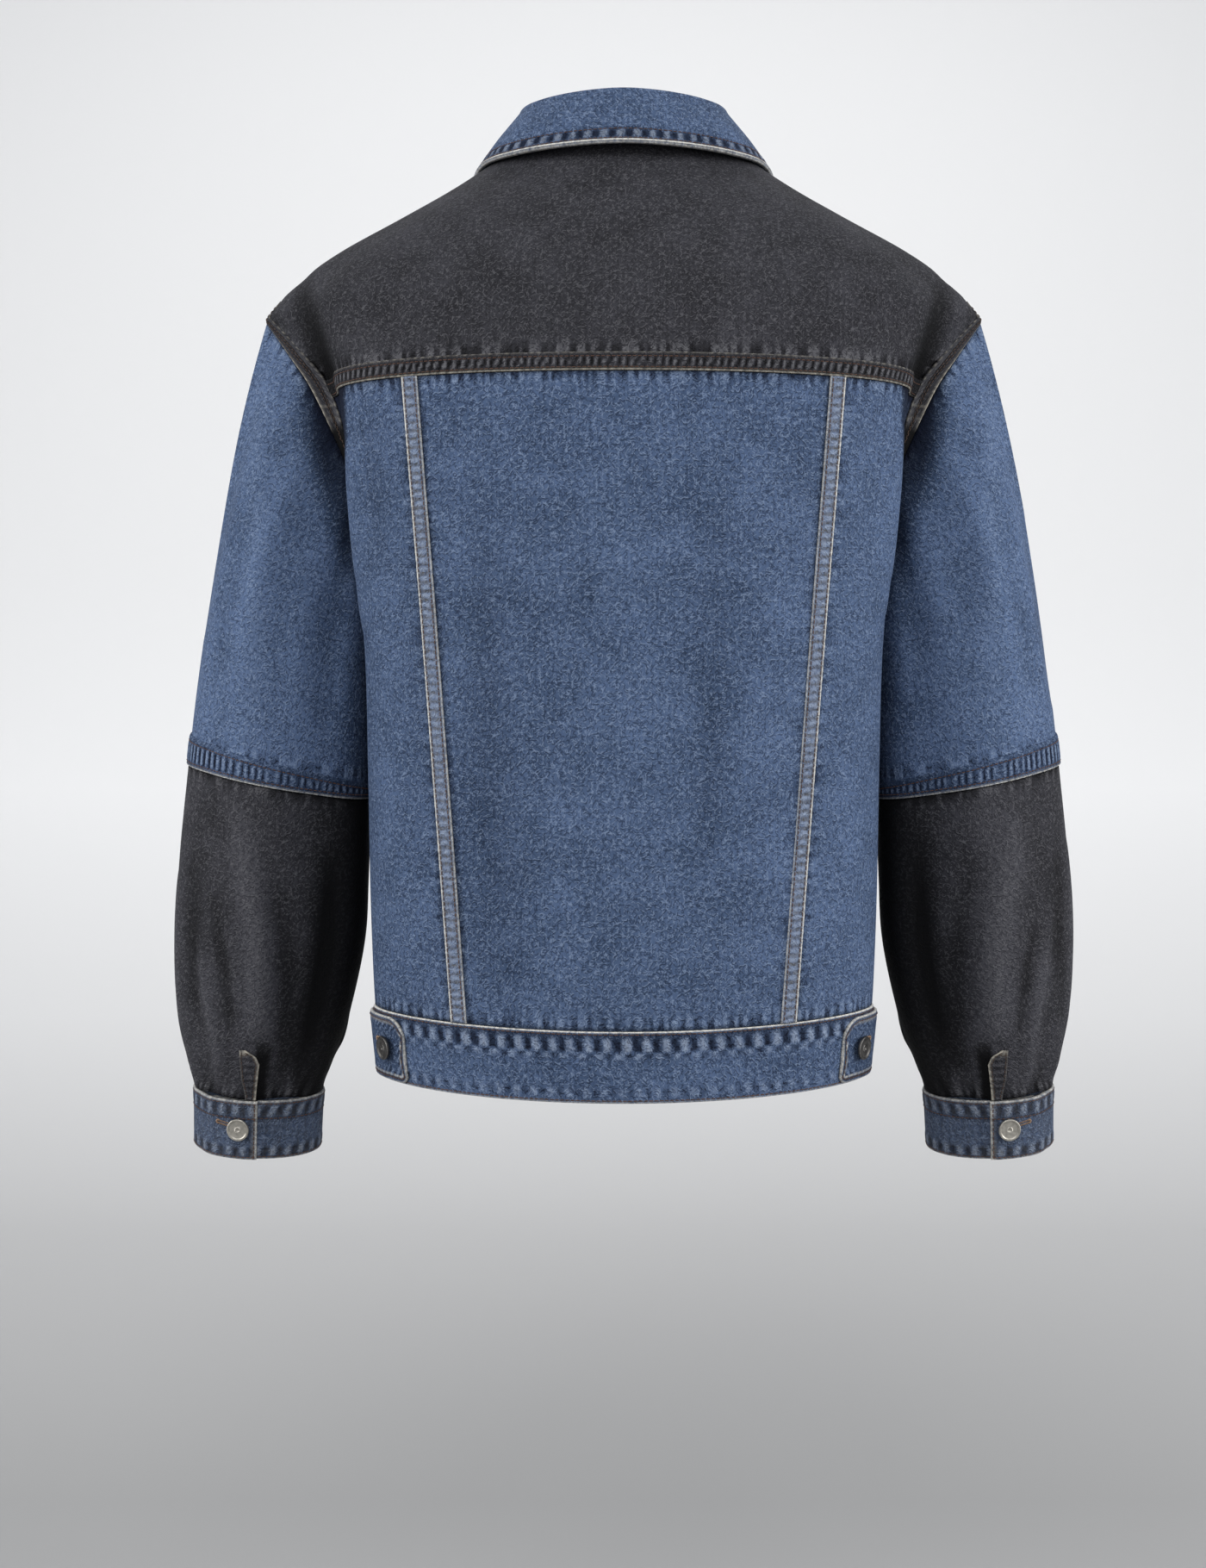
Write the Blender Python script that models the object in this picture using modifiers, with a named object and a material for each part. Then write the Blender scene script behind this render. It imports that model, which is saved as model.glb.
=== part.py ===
"""Denim jacket in its worn, filled-out shape: a loose trucker cut in blue denim, with a
charcoal yoke, charcoal lower sleeves, a waistband with side tabs and buttoned cuffs.

Metres, +Z up. The front faces -Y and the wearer's left is +X. The origin is the middle of
the neck opening, level with the back neck seam, where a wearer's shoulders carry it.
Every cloth piece is a wall between two grids of points: its outer side, and the same
points moved inwards. Pieces on the body take their points from one common form.
"""

from collections import namedtuple
from math import cos, exp, floor, pi, radians, sin

import bpy
import numpy as np
from mathutils import Vector

# ---------------------------------------------------------------- driving sizes
CLOTH = 0.0016  # one layer of heavy denim, with its seam allowances
DOUBLED = 0.0026  # waistband, cuffs and collar are two layers
STRIP = 0.0011  # the turned edge that a felled seam adds on top of a panel
SEAM_GAP = 0.0003  # clear space between neighbouring pieces
FELL_WIDTH = 0.0105  # width of a felled seam with its two rows of stitching
BACK_SEAM_TOP = 0.141  # half distance between the back seams, at the yoke
BACK_SEAM_FOOT = 0.108  # the same at the waistband
YOKE_HEM = 0.012  # height of the felled seam at the foot of the yoke
ELBOW_HEM = 0.015  # height of the turned hem of the blue upper sleeve
FRONT_OVERLAP = 0.0175  # each front passes the middle by this much
CUFF_HEIGHT = 0.044
BUTTON_RADIUS = 0.0085
BUTTON_HEIGHT = 0.0042
BACK, FRONT = 1, -1  # the two faces of the body, by the sign of Y

BLUE = ("blue_denim", (0.10, 0.17, 0.31), 0.85, 0.0)
CHARCOAL = ("charcoal_denim", (0.045, 0.045, 0.050), 0.88, 0.0)
STEEL = ("brushed_button", (0.62, 0.60, 0.56), 0.38, 1.0)

# ---------------------------------------------------------------- the body's form
# One row for each level, from the hem up to the neck seam. Each half section runs from the
# middle of the face over a ridge, where the cloth turns, to an edge: the side seam, then
# the armhole, then the shoulder seam. Distances "out" are away from the wearer's middle.
# A turn is the angle in degrees from straight sideways towards the other face.
Level = namedtuple("Level", "name mid_out mid_z ridge_x ridge_out ridge_turn edge_x edge_out edge_z edge_turn")
BACK_LEVELS = [
    Level("hem", 0.1400, -0.6465, 0.1680, 0.032, 90, 0.1665, 0.000, -0.6435, 90),
    Level("band_top", 0.1405, -0.5995, 0.1725, 0.034, 90, 0.1710, 0.000, -0.5960, 90),
    Level("waist", 0.1410, -0.5200, 0.1755, 0.035, 90, 0.1725, -0.002, -0.520, 91),
    Level("ribs", 0.1400, -0.4400, 0.1770, 0.036, 90, 0.1720, -0.004, -0.440, 92),
    Level("chest", 0.1400, -0.3600, 0.1785, 0.040, 90, 0.1710, -0.006, -0.360, 94),
    Level("underarm", 0.1410, -0.3000, 0.1820, 0.044, 90, 0.1700, -0.008, -0.300, 96),
    Level("scoop", 0.1410, -0.2820, 0.1840, 0.046, 90, 0.1725, 0.007, -0.284, 92),
    Level("armhole", 0.1410, -0.2400, 0.1880, 0.050, 90, 0.1830, 0.019, -0.240, 80),
    Level("yoke", 0.1385, -0.1725, 0.1950, 0.058, 88, 0.2145, 0.025, -0.171, 25),
    Level("blade", 0.1335, -0.1400, 0.2030, 0.066, 66, 0.2335, 0.020, -0.140, 50),
    Level("tip", 0.1265, -0.1120, 0.2060, 0.071, 52, 0.2535, 0.003, -0.112, 82),
    Level("shoulder_1", 0.1170, -0.0890, 0.1880, 0.070, 46, 0.2310, 0.004, -0.0890, 90),
    Level("shoulder_2", 0.1080, -0.0690, 0.1640, 0.067, 44, 0.2030, 0.005, -0.0690, 90),
    Level("shoulder_3", 0.0970, -0.0465, 0.1300, 0.062, 43, 0.1610, 0.006, -0.0465, 90),
    Level("shoulder_4", 0.0830, -0.0245, 0.0980, 0.054, 42, 0.1230, 0.005, -0.0245, 90),
    Level("neck", 0.0650, 0.0020, 0.0660, 0.043, 42, 0.0840, 0.003, 0.002, 90),
]
FRONT_LEVELS = [
    Level("hem", 0.1260, -0.6410, 0.1660, 0.036, 90, 0.1665, 0.000, -0.6435, 90),
    Level("band_top", 0.1265, -0.5945, 0.1705, 0.038, 90, 0.1710, 0.000, -0.5960, 90),
    Level("waist", 0.1290, -0.5200, 0.1730, 0.040, 90, 0.1725, 0.002, -0.520, 89),
    Level("ribs", 0.1330, -0.4400, 0.1735, 0.042, 90, 0.1720, 0.004, -0.440, 88),
    Level("chest", 0.1370, -0.3620, 0.1745, 0.048, 90, 0.1710, 0.006, -0.360, 88),
    Level("underarm", 0.1390, -0.3050, 0.1755, 0.054, 90, 0.1700, 0.008, -0.300, 86),
    Level("scoop", 0.1390, -0.2880, 0.1765, 0.056, 90, 0.1720, 0.026, -0.284, 86),
    Level("armhole", 0.1380, -0.2500, 0.1790, 0.062, 88, 0.1800, 0.044, -0.240, 78),
    Level("yoke", 0.1330, -0.2050, 0.1850, 0.070, 78, 0.2050, 0.048, -0.171, 40),
    Level("blade", 0.1290, -0.1740, 0.1900, 0.073, 64, 0.2300, 0.034, -0.140, 50),
    Level("tip", 0.1230, -0.1500, 0.1940, 0.070, 54, 0.2535, -0.003, -0.112, 82),
    Level("shoulder_1", 0.1170, -0.1310, 0.1780, 0.069, 48, 0.2310, -0.004, -0.0890, 90),
    Level("shoulder_2", 0.1110, -0.1150, 0.1560, 0.068, 46, 0.2030, -0.005, -0.0690, 90),
    Level("shoulder_3", 0.1040, -0.1020, 0.1250, 0.067, 44, 0.1610, -0.006, -0.0465, 90),
    Level("shoulder_4", 0.0960, -0.0880, 0.0950, 0.063, 42, 0.1230, -0.005, -0.0245, 90),
    Level("neck", 0.0870, -0.0730, 0.0640, 0.057, 42, 0.0840, -0.003, 0.002, 90),
]
LEVEL = {row.name: index for index, row in enumerate(BACK_LEVELS)}
RIDGE_AT = 0.75  # share of a half section, from its middle, that lies before the ridge
FULLNESS = 0.56  # how square the turn to the ridge is; 0.55 is an ellipse
FLANK_PULL = 0.42  # length of the flank's handles, as a share of the flank
FRONT_YOKE_LEVEL = LEVEL["armhole"] + 0.5

# ---------------------------------------------------------------- the sleeve's form
# Rings down the wearer's left sleeve. Lean lifts the outer side, pitch drops the back.
Ring = namedtuple("Ring", "name z mid_x mid_y half_width half_depth lean pitch")
SLEEVE_RINGS = [
    Ring("elbow", -0.4370, 0.2470, -0.015, 0.0660, 0.0600, 11, 5),
    Ring("forearm", -0.5000, 0.2515, -0.018, 0.0680, 0.0600, 7, 6),
    Ring("low_arm", -0.5500, 0.2545, -0.021, 0.0675, 0.0575, 4, 7),
    Ring("taper", -0.6060, 0.2600, -0.026, 0.0605, 0.0510, 3, 7),
    Ring("wrist", -0.6400, 0.2640, -0.030, 0.0520, 0.0445, 3, 7),
    Ring("cuff_top", -0.6600, 0.2652, -0.033, 0.0463, 0.0390, 3, 7),
    Ring("cuff_foot", -0.7015, 0.2670, -0.038, 0.0447, 0.0375, 3, 8),
]
RING = {ring.name: index for index, ring in enumerate(SLEEVE_RINGS)}
CAP_FALL = 0.95  # how strongly the sleeve cap follows its first direction
# Soft creases of the sleeve: where round the arm (0 underarm, 0.25 back, 0.5 outside),
# how wide as a share of the girth, and how deep at the elbow and at the wrist.
Crease = namedtuple("Crease", "around width elbow_depth wrist_depth")
SLEEVE_CREASES = [
    Crease(0.17, 0.045, 0.0030, 0.0050),
    Crease(0.36, 0.040, 0.0020, 0.0035),
    Crease(0.66, 0.050, 0.0025, 0.0045),
    Crease(0.85, 0.045, 0.0030, 0.0040),
]

# ---------------------------------------------------------------- the collar's form
# Half of the collar, from the middle of the back (0) over the shoulder (0.5) to its front
# end (1): the top of its roll, and the free edge of its fall.
Roll = namedtuple("Roll", "around fold_x fold_y fold_z edge_x edge_y edge_z")
COLLAR_ROLLS = [
    Roll(0.00, 0.0000, 0.0690, 0.0355, 0.0000, 0.0900, -0.0065),
    Roll(0.25, 0.0560, 0.0490, 0.0335, 0.0725, 0.0665, -0.0065),
    Roll(0.50, 0.0745, 0.0040, 0.0335, 0.1005, 0.0030, -0.0050),
    Roll(0.75, 0.0600, -0.0520, 0.0080, 0.1010, -0.0700, -0.0350),
    Roll(1.00, 0.0090, -0.0890, -0.0440, 0.0600, -0.1240, -0.0960),
]
ROLL_RADIUS = 0.0045
COLLAR_FRONT_X = 0.004  # the collar ends this far from the middle of the front


def spline(table, place, breaks=()):
    """The table's row at a fractional place, on a curve through all its rows.

    The curve is smooth but for a corner at each row in breaks."""
    last = len(table) - 1
    low = min(max(floor(place), 0), last - 1)
    share = place - low
    before = low if low in breaks else max(low - 1, 0)
    after = low + 1 if low + 1 in breaks else min(low + 2, last)
    start_slope = (table[low + 1] - table[before]) / (low + 1 - before)
    end_slope = (table[after] - table[low]) / (after - low)
    square, cube = share**2, share**3
    row = (
        (2 * cube - 3 * square + 1) * table[low]
        + (cube - 2 * square + share) * start_slope
        + (3 * square - 2 * cube) * table[low + 1]
        + (cube - square) * end_slope
    )
    return row.tolist()


def numbers(rows):
    """The rows of a table as numbers, without a leading name."""
    return np.array([[value for value in row if not isinstance(value, str)] for row in rows], float)


BODY = {BACK: numbers(BACK_LEVELS), FRONT: numbers(FRONT_LEVELS)}
RINGS = numbers(SLEEVE_RINGS)
ROLLS = numbers(COLLAR_ROLLS)


def bezier(start, leave, arrive, end, share):
    rest = 1 - share
    return rest**3 * start + 3 * rest**2 * share * leave + 3 * rest * share**2 * arrive + share**3 * end


def body_point(face, level, across):
    """A point of the body's outer side. Across is 0 at the middle, 1 at the left edge."""
    smooth = spline(BODY[face], level)
    cornered = spline(BODY[face], level, (LEVEL["underarm"], LEVEL["tip"]))
    row = Level("", *smooth[:5], *cornered[5:])
    middle = np.array((0.0, row.mid_out))
    ridge = np.array((row.ridge_x, row.ridge_out))
    edge = np.array((row.edge_x, row.edge_out))
    ridge_way = np.array((cos(radians(row.ridge_turn)), -sin(radians(row.ridge_turn))))
    edge_way = np.array((cos(radians(row.edge_turn)), -sin(radians(row.edge_turn))))
    share = abs(across)
    if share < RIDGE_AT:
        leave = middle + np.array((FULLNESS * row.ridge_x, 0.0))
        arrive = ridge - ridge_way * FULLNESS * (row.mid_out - row.ridge_out)
        x, out = bezier(middle, leave, arrive, ridge, share / RIDGE_AT)
    else:
        pull = FLANK_PULL * np.linalg.norm(edge - ridge)
        flank = (share - RIDGE_AT) / (1 - RIDGE_AT)
        x, out = bezier(ridge, ridge + ridge_way * pull, edge - edge_way * pull, edge, flank)
    z = row.mid_z + (row.edge_z - row.mid_z) * (x / row.edge_x) ** 2
    return Vector((x if across >= 0 else -x, face * out, z))


def face_normal(face, level, across, step=1e-3):
    up = body_point(face, level + step, across) - body_point(face, level - step, across)
    left = body_point(face, level, across + step) - body_point(face, level, across - step)
    return face * up.cross(left).normalized()


def body_normal(face, level, across):
    """The direction away from the wearer. Back and front share it at their common seams."""
    normal = face_normal(face, level, across)
    shared = max(0.0, (abs(across) - 0.85) / 0.15)
    if shared and not LEVEL["underarm"] < level < LEVEL["tip"]:
        edge = 1 if across > 0 else -1
        common = face_normal(BACK, level, edge) + face_normal(FRONT, level, edge)
        normal = normal.lerp(common.normalized(), min(shared, 1.0)).normalized()
    return normal


def across_at(face, level, x):
    """How far across the body lies a point at this x, found by halving."""
    low, high = 0.0, RIDGE_AT
    for _ in range(30):
        middle = (low + high) / 2
        if body_point(face, level, middle).x < abs(x):
            low = middle
        else:
            high = middle
    return low if x >= 0 else -low


def on_body(face, level, across, lift=0.0):
    return body_point(face, level, across) + lift * body_normal(face, level, across)


def steps(start, end, count):
    return [start + (end - start) * index / count for index in range(count + 1)]


# ---------------------------------------------------------------- building pieces
def material(kind):
    name, colour, roughness, metallic = kind
    made = bpy.data.materials.get(name)
    if made is None:
        made = bpy.data.materials.new(name)
        made.use_nodes = True
        shader = made.node_tree.nodes["Principled BSDF"]
        shader.inputs["Base Color"].default_value = (*colour, 1)
        shader.inputs["Roughness"].default_value = roughness
        shader.inputs["Metallic"].default_value = metallic
    return made


def add_piece(name, points, faces, kind):
    mesh = bpy.data.meshes.new(name)
    mesh.from_pydata([tuple(point) for point in points], [], faces)
    mesh.materials.append(material(kind))
    mesh.shade_smooth()
    piece = bpy.data.objects.new(name, mesh)
    jacket.objects.link(piece)
    return piece


def wall(name, outer, inner, kind, tube=False):
    """The closed solid between two grids of points. A tube's rows close on themselves."""
    rows, columns = len(outer), len(outer[0])
    points = [point for grid in (outer, inner) for row in grid for point in row]
    across = columns if tube else columns - 1
    sheet = rows * columns
    faces = []

    def quad(a, b, c, d):
        faces.append((a, b, c))
        faces.append((a, c, d))

    for row in range(rows - 1):
        for column in range(across):
            a = row * columns + column
            b = row * columns + (column + 1) % columns
            c, d = b + columns, a + columns
            # Both sides are split along the diagonal that lies further out.
            rise = points[a] + points[c] - points[b] - points[d]
            if rise.dot(points[a] - points[sheet + a]) < 0:
                a, b, c, d = b, c, d, a
            quad(a, b, c, d)
            faces.append((sheet + c, sheet + b, sheet + a))
            faces.append((sheet + d, sheet + c, sheet + a))
    for column in range(across):
        a, b = column, (column + 1) % columns
        quad(sheet + a, sheet + b, b, a)
        a, b = a + sheet - columns, b + sheet - columns
        quad(a, b, sheet + b, sheet + a)
    if not tube:
        for row in range(rows - 1):
            a, d = row * columns, (row + 1) * columns
            quad(a, d, sheet + d, sheet + a)
            a, d = a + columns - 1, d + columns - 1
            quad(sheet + a, sheet + d, d, a)
    volume = sum(points[a].dot(points[b].cross(points[c])) for a, b, c in faces)
    if volume < 0:
        faces = [(a, c, b) for a, b, c in faces]
    return add_piece(name, points, faces, kind)


def body_wall(name, face, levels, columns, kind, thickness=CLOTH, lift=0.0):
    """A piece of the body. Columns gives the places across at a level."""
    outer = [[on_body(face, level, a, lift) for a in columns(level)] for level in levels]
    inner = [[on_body(face, level, a, lift - thickness) for a in columns(level)] for level in levels]
    return wall(name, outer, inner, kind)


def grid_normals(grid, tube, outward):
    """A direction at each point of a grid, turned to face "outward" at its first point."""
    rows, columns = len(grid), len(grid[0])
    result = []
    for r in range(rows):
        line = []
        for c in range(columns):
            up = grid[min(r + 1, rows - 1)][c] - grid[max(r - 1, 0)][c]
            if tube:
                beside = grid[r][(c + 1) % columns] - grid[r][c - 1]
            else:
                beside = grid[r][min(c + 1, columns - 1)] - grid[r][max(c - 1, 0)]
            line.append(up.cross(beside).normalized())
        result.append(line)
    if result[0][0].dot(outward) < 0:
        result = [[-normal for normal in line] for line in result]
    return result


def moved(grid, normals, lift):
    return [[p + lift * n for p, n in zip(*lines)] for lines in zip(grid, normals)]


# ---------------------------------------------------------------- body panels
EDGE_SHARE = 0.0008  # half a seam gap at the side, armhole and shoulder seams
LEVEL_SHARE = 0.0035  # half a seam gap between panels one above the other
ARMHOLE_BAND = 0.0120  # width of the felled armhole seam
ARMHOLE_LEVELS = steps(LEVEL["underarm"], LEVEL["tip"], 10)
UNDERARM_DROP, TIP_RISE = 0.20, 0.40  # how many levels the armhole seam passes its ends by
BELOW_ARM = steps(LEVEL["band_top"], LEVEL["underarm"] - UNDERARM_DROP, 8)
SHOULDER = [LEVEL["tip"] + TIP_RISE] + steps(LEVEL["tip"] + 1, LEVEL["neck"], 8)


def levels_between(low, high):
    """The armhole's levels that lie between two others."""
    return [level for level in ARMHOLE_LEVELS if low + 0.1 < level < high - 0.1]


def band_share(face, level):
    """The place across that lies one armhole band before the edge."""
    level = min(max(level, LEVEL["underarm"]), LEVEL["tip"])
    reach = (body_point(face, level, 0.96) - body_point(face, level, 1)).length
    return 1 - 0.04 * ARMHOLE_BAND / reach


def flank(face, level):
    inner = band_share(face, level)
    return steps(RIDGE_AT, inner, 4)[1:] + [1 - EDGE_SHARE]


def back_seam_x(level):
    share = (level - LEVEL["band_top"]) / (LEVEL["yoke"] - LEVEL["band_top"])
    return BACK_SEAM_FOOT + (BACK_SEAM_TOP - BACK_SEAM_FOOT) * share


def back_hem_rise():
    """The levels that the felled seam covers at the foot of the back yoke."""
    foot = body_point(BACK, LEVEL["yoke"], 0)
    return min(steps(0, 1, 200), key=lambda rise: abs((body_point(BACK, LEVEL["yoke"] + rise, 0) - foot).length - YOKE_HEM))


def back_yoke():
    seam = across_at(BACK, LEVEL["yoke"], BACK_SEAM_TOP)

    def columns(level, cut=0):
        half = steps(0, seam, 6)[1:] + steps(seam, RIDGE_AT, 2)[1:] + flank(BACK, level)
        half = half[: len(half) - cut]
        return [-across for across in reversed(half)] + [0.0] + half

    foot = LEVEL["yoke"] + LEVEL_SHARE
    hem = LEVEL["yoke"] + back_hem_rise()
    levels = [foot, hem] + levels_between(hem, SHOULDER[0]) + SHOULDER
    body_wall("back_yoke", BACK, levels, columns, CHARCOAL)
    body_wall(
        "back_yoke_seam", BACK, levels[:2], lambda level: columns(level, 2),
        CHARCOAL, STRIP, STRIP + SEAM_GAP,
    )


def back_panels():
    seam = LEVEL["yoke"]
    levels = BELOW_ARM + levels_between(BELOW_ARM[-1], seam) + [seam - LEVEL_SHARE]

    def at(level, offset):
        return across_at(BACK, level, back_seam_x(level) + offset)

    def middle_columns(level):
        inner = steps(0, at(level, -FELL_WIDTH / 2), 5)[1:] + [at(level, -SEAM_GAP / 2)]
        return [-across for across in reversed(inner)] + [0.0] + inner

    body_wall("back_middle", BACK, levels, middle_columns, BLUE)
    for side, name in ((1, "left"), (-1, "right")):

        def side_columns(level):
            start, strip = at(level, SEAM_GAP / 2), at(level, FELL_WIDTH / 2)
            return [side * a for a in [start, strip, (strip + RIDGE_AT) / 2, RIDGE_AT] + flank(BACK, level)]

        def seam_columns(level):
            offsets = (-FELL_WIDTH / 2, -SEAM_GAP / 2, SEAM_GAP / 2, FELL_WIDTH / 2)
            return [side * at(level, offset) for offset in offsets]

        body_wall(f"back_side_{name}", BACK, levels, side_columns, BLUE)
        body_wall(f"back_seam_{name}", BACK, levels, seam_columns, BLUE, STRIP, STRIP + SEAM_GAP)


BAND_HALF = FRONT_OVERLAP
UNDER_EDGE = 0.003  # the left front reaches this far from the middle, under its band
PANEL_START = FRONT_OVERLAP + 0.001
UNDER_REACH = PANEL_START + 0.008  # the right band's seam allowance, below its panel
FRONT_HEM = 0.26  # levels covered by the felled seam at the foot of the front yoke


def front_levels():
    """Levels of the front panel and of the front yoke."""
    seam = FRONT_YOKE_LEVEL
    panel = BELOW_ARM + levels_between(BELOW_ARM[-1], seam) + [seam - LEVEL_SHARE]
    yoke = [seam + LEVEL_SHARE, seam + FRONT_HEM] + levels_between(seam + FRONT_HEM, SHOULDER[0])
    return panel, yoke + SHOULDER


def front_panels():
    panel, yoke = front_levels()
    for side, name in ((1, "left"), (-1, "right")):

        first = [UNDER_EDGE, BAND_HALF, PANEL_START] if side > 0 else [PANEL_START, UNDER_REACH]

        def columns(level):
            start = [across_at(FRONT, level, x) for x in first]
            return [side * a for a in start[:-1] + steps(start[-1], RIDGE_AT, 5) + flank(FRONT, level)]

        def strip_columns(level):
            return columns(level)[2 if side > 0 else 0 : -2]

        body_wall(f"front_{name}", FRONT, panel, columns, BLUE)
        body_wall(f"front_yoke_{name}", FRONT, yoke, columns, CHARCOAL)
        body_wall(
            f"front_yoke_seam_{name}", FRONT, yoke[:2], strip_columns, CHARCOAL, STRIP, STRIP + SEAM_GAP
        )


def button_bands():
    panel, yoke = front_levels()
    levels = panel + yoke
    thick = DOUBLED - CLOTH + SEAM_GAP

    def columns(level):
        return [across_at(FRONT, level, x) for x in (-BAND_HALF, UNDER_EDGE, BAND_HALF)]

    def under_columns(level):
        return [across_at(FRONT, level, x) for x in (-UNDER_REACH, -PANEL_START, UNDER_EDGE, BAND_HALF)]

    body_wall("button_band_left", FRONT, levels, columns, BLUE, thick, thick + SEAM_GAP)
    body_wall("button_band_right", FRONT, levels, under_columns, BLUE, thick, -CLOTH - SEAM_GAP)


def armhole_seams():
    """The felled seam on the body side of each armhole, all the way round."""
    low, high = BELOW_ARM[-1], SHOULDER[0]
    front_yoke = FRONT_YOKE_LEVEL + FRONT_HEM

    def route():
        """Pairs of places: on the armhole's edge, and one band's width in from it."""
        for face, hem in ((BACK, LEVEL["yoke"] + back_hem_rise()), (FRONT, front_yoke)):
            # At both ends it turns the corner and runs on below the arm or over the shoulder.
            foot, top = ARMHOLE_LEVELS[0], ARMHOLE_LEVELS[-1]
            rows = [(foot - 0.04, low, 1 - EDGE_SHARE), (foot - 0.02, low, band_share(face, low))]
            rows += [(level, level, band_share(face, level)) for level in sorted(ARMHOLE_LEVELS + [hem])]
            rows += [(top + 0.02, high, band_share(face, high)), (top + 0.04, high, 1 - EDGE_SHARE)]
            for level, inner, share in rows if face == BACK else rows[::-1]:
                yield (face, level, 1 - EDGE_SHARE), (face, inner, share)

    for side, name in ((1, "left"), (-1, "right")):

        def lines(lift):
            pairs = list(route())
            return [[on_body(f, level, side * a, lift) for f, level, a in line] for line in zip(*pairs)]

        top = STRIP + 1.5 * SEAM_GAP
        wall(f"armhole_seam_{name}", lines(top), lines(top - STRIP), CHARCOAL, tube=True)


# ---------------------------------------------------------------- waistband and tabs
BAND_PROUD = 0.0012  # the waistband stands out past the panels that it holds
TAB_END_X = 0.146  # the tab's free end, where it lies on the back of the waistband
TAB_LOW, TAB_HIGH = 0.03, 0.80  # the share of the waistband's height that it covers
TAB_CLOTH = 0.0021
TAB_LIFT = BAND_PROUD + TAB_CLOTH + 1.5 * SEAM_GAP
BAND_TOP = LEVEL["band_top"] - 3 * LEVEL_SHARE


def band_half():
    """Places across half of the back of the waistband, from the middle to the side."""
    end = across_at(BACK, 0.5, TAB_END_X)
    return steps(0, end, 5) + steps(end, 1, 9)[1:]


def waistband():
    over = DOUBLED + SEAM_GAP
    ends = [across_at(FRONT, 0.5, x) for x in (FRONT_OVERLAP, 0.034)]
    lapped = [(FRONT, across, over) for across in (-ends[0], 0.0, ends[0])]
    left = [(FRONT, across, 0.0) for across in steps(ends[1], RIDGE_AT, 4) + steps(RIDGE_AT, 1, 4)[1:]]
    half = [(BACK, across, 0.0) for across in reversed(band_half()[:-1])]
    route = lapped + left + half + [(f, -a, lift) for f, a, lift in reversed(half[:-1])]
    route += [(f, -a, lift) for f, a, lift in reversed(left)]
    route += [(FRONT, across, 0.0) for across in (-ends[0], 0.0, ends[0])]

    def lines(lift):
        return [
            [on_body(face, level, across, BAND_PROUD + lift + raised) for face, across, raised in route]
            for level in steps(LEVEL["hem"], BAND_TOP, 2)
        ]

    wall("waistband", lines(0), lines(-DOUBLED), BLUE)


def waist_tabs():
    places = band_half()[5:]
    for side, name in ((1, "left"), (-1, "right")):

        def lines(lift):
            grid = []
            for share in steps(0, 1, 2):
                row = []
                for place in places:
                    near_end = max(0.0, 1 - (place - places[0]) / 0.06)
                    high = TAB_HIGH - 0.16 * near_end  # the upper corner is clipped
                    row.append(on_body(BACK, TAB_LOW + (high - TAB_LOW) * share, side * place, lift))
                grid.append(row)
            return grid

        wall(f"waist_tab_{name}", lines(TAB_LIFT), lines(TAB_LIFT - TAB_CLOTH), BLUE)


# ---------------------------------------------------------------- sleeves
def armhole_loop():
    """(face, level) round the armhole: up the back from the underarm, down the front."""
    up = [(BACK, level) for level in ARMHOLE_LEVELS]
    down = [(FRONT, level) for level in reversed(ARMHOLE_LEVELS[1:-1])]
    return up + down


def armhole_shares():
    """The share of the girth at each armhole point, with the shoulder point at a half."""
    points = [body_point(face, level, 1) for face, level in armhole_loop()]
    half = len(ARMHOLE_LEVELS) - 1
    lengths = [(points[(i + 1) % len(points)] - points[i]).length for i in range(len(points))]
    back, front = sum(lengths[:half]), sum(lengths[half:])
    shares, run = [], 0.0
    for index, length in enumerate(lengths):
        shares.append(run)
        run += length / (2 * (back if index < half else front))
    return shares


def creased(around, place):
    """How far the sleeve's creases draw the cloth in, at a ring's place down the arm."""
    depth = 0.0
    share = min(max(place / RING["wrist"], 0.0), 1.0)
    for crease in SLEEVE_CREASES:
        gap = (around - crease.around) / crease.width
        deep = crease.elbow_depth + (crease.wrist_depth - crease.elbow_depth) * share
        depth += deep * exp(-gap * gap)
    return depth


def ring_point(place, around, lift=0.0, creases=1.0):
    """A point of the left sleeve below the elbow, at a fractional ring."""
    ring = Ring("", *spline(RINGS, place))
    angle = 2 * pi * around
    lean, pitch = radians(ring.lean), radians(ring.pitch)
    wide = Vector((cos(lean), 0, sin(lean)))
    deep = Vector((0, cos(pitch), -sin(pitch)))
    lift -= creases * creased(around, place)
    middle = Vector((ring.mid_x, ring.mid_y, ring.z))
    away = Vector((-cos(angle) * ring.half_depth, sin(angle) * ring.half_width)).normalized()
    return (
        middle
        + (-cos(angle) * ring.half_width + away.x * lift) * wide
        + (sin(angle) * ring.half_depth + away.y * lift) * deep
    )


UNDERARM_CLEAR = STRIP + 4.5 * SEAM_GAP  # the sleeve passes outside the armhole seam there


def cap_start(place):
    """The sleeve's first point, just past the armhole's edge, and the way past that edge."""
    loop = armhole_loop()
    face, level = loop[place]
    angle = 2 * pi * armhole_shares()[place]
    edge, normal = body_point(face, level, 1), body_normal(face, level, 1)
    after, before = loop[(place + 1) % len(loop)], loop[place - 1]
    past = normal.cross(body_point(*after, 1) - body_point(*before, 1)).normalized()
    under = max(0.0, cos(angle)) ** 2
    return edge + (1 - under) * 2 * SEAM_GAP * past + under * UNDERARM_CLEAR * normal, past


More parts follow.
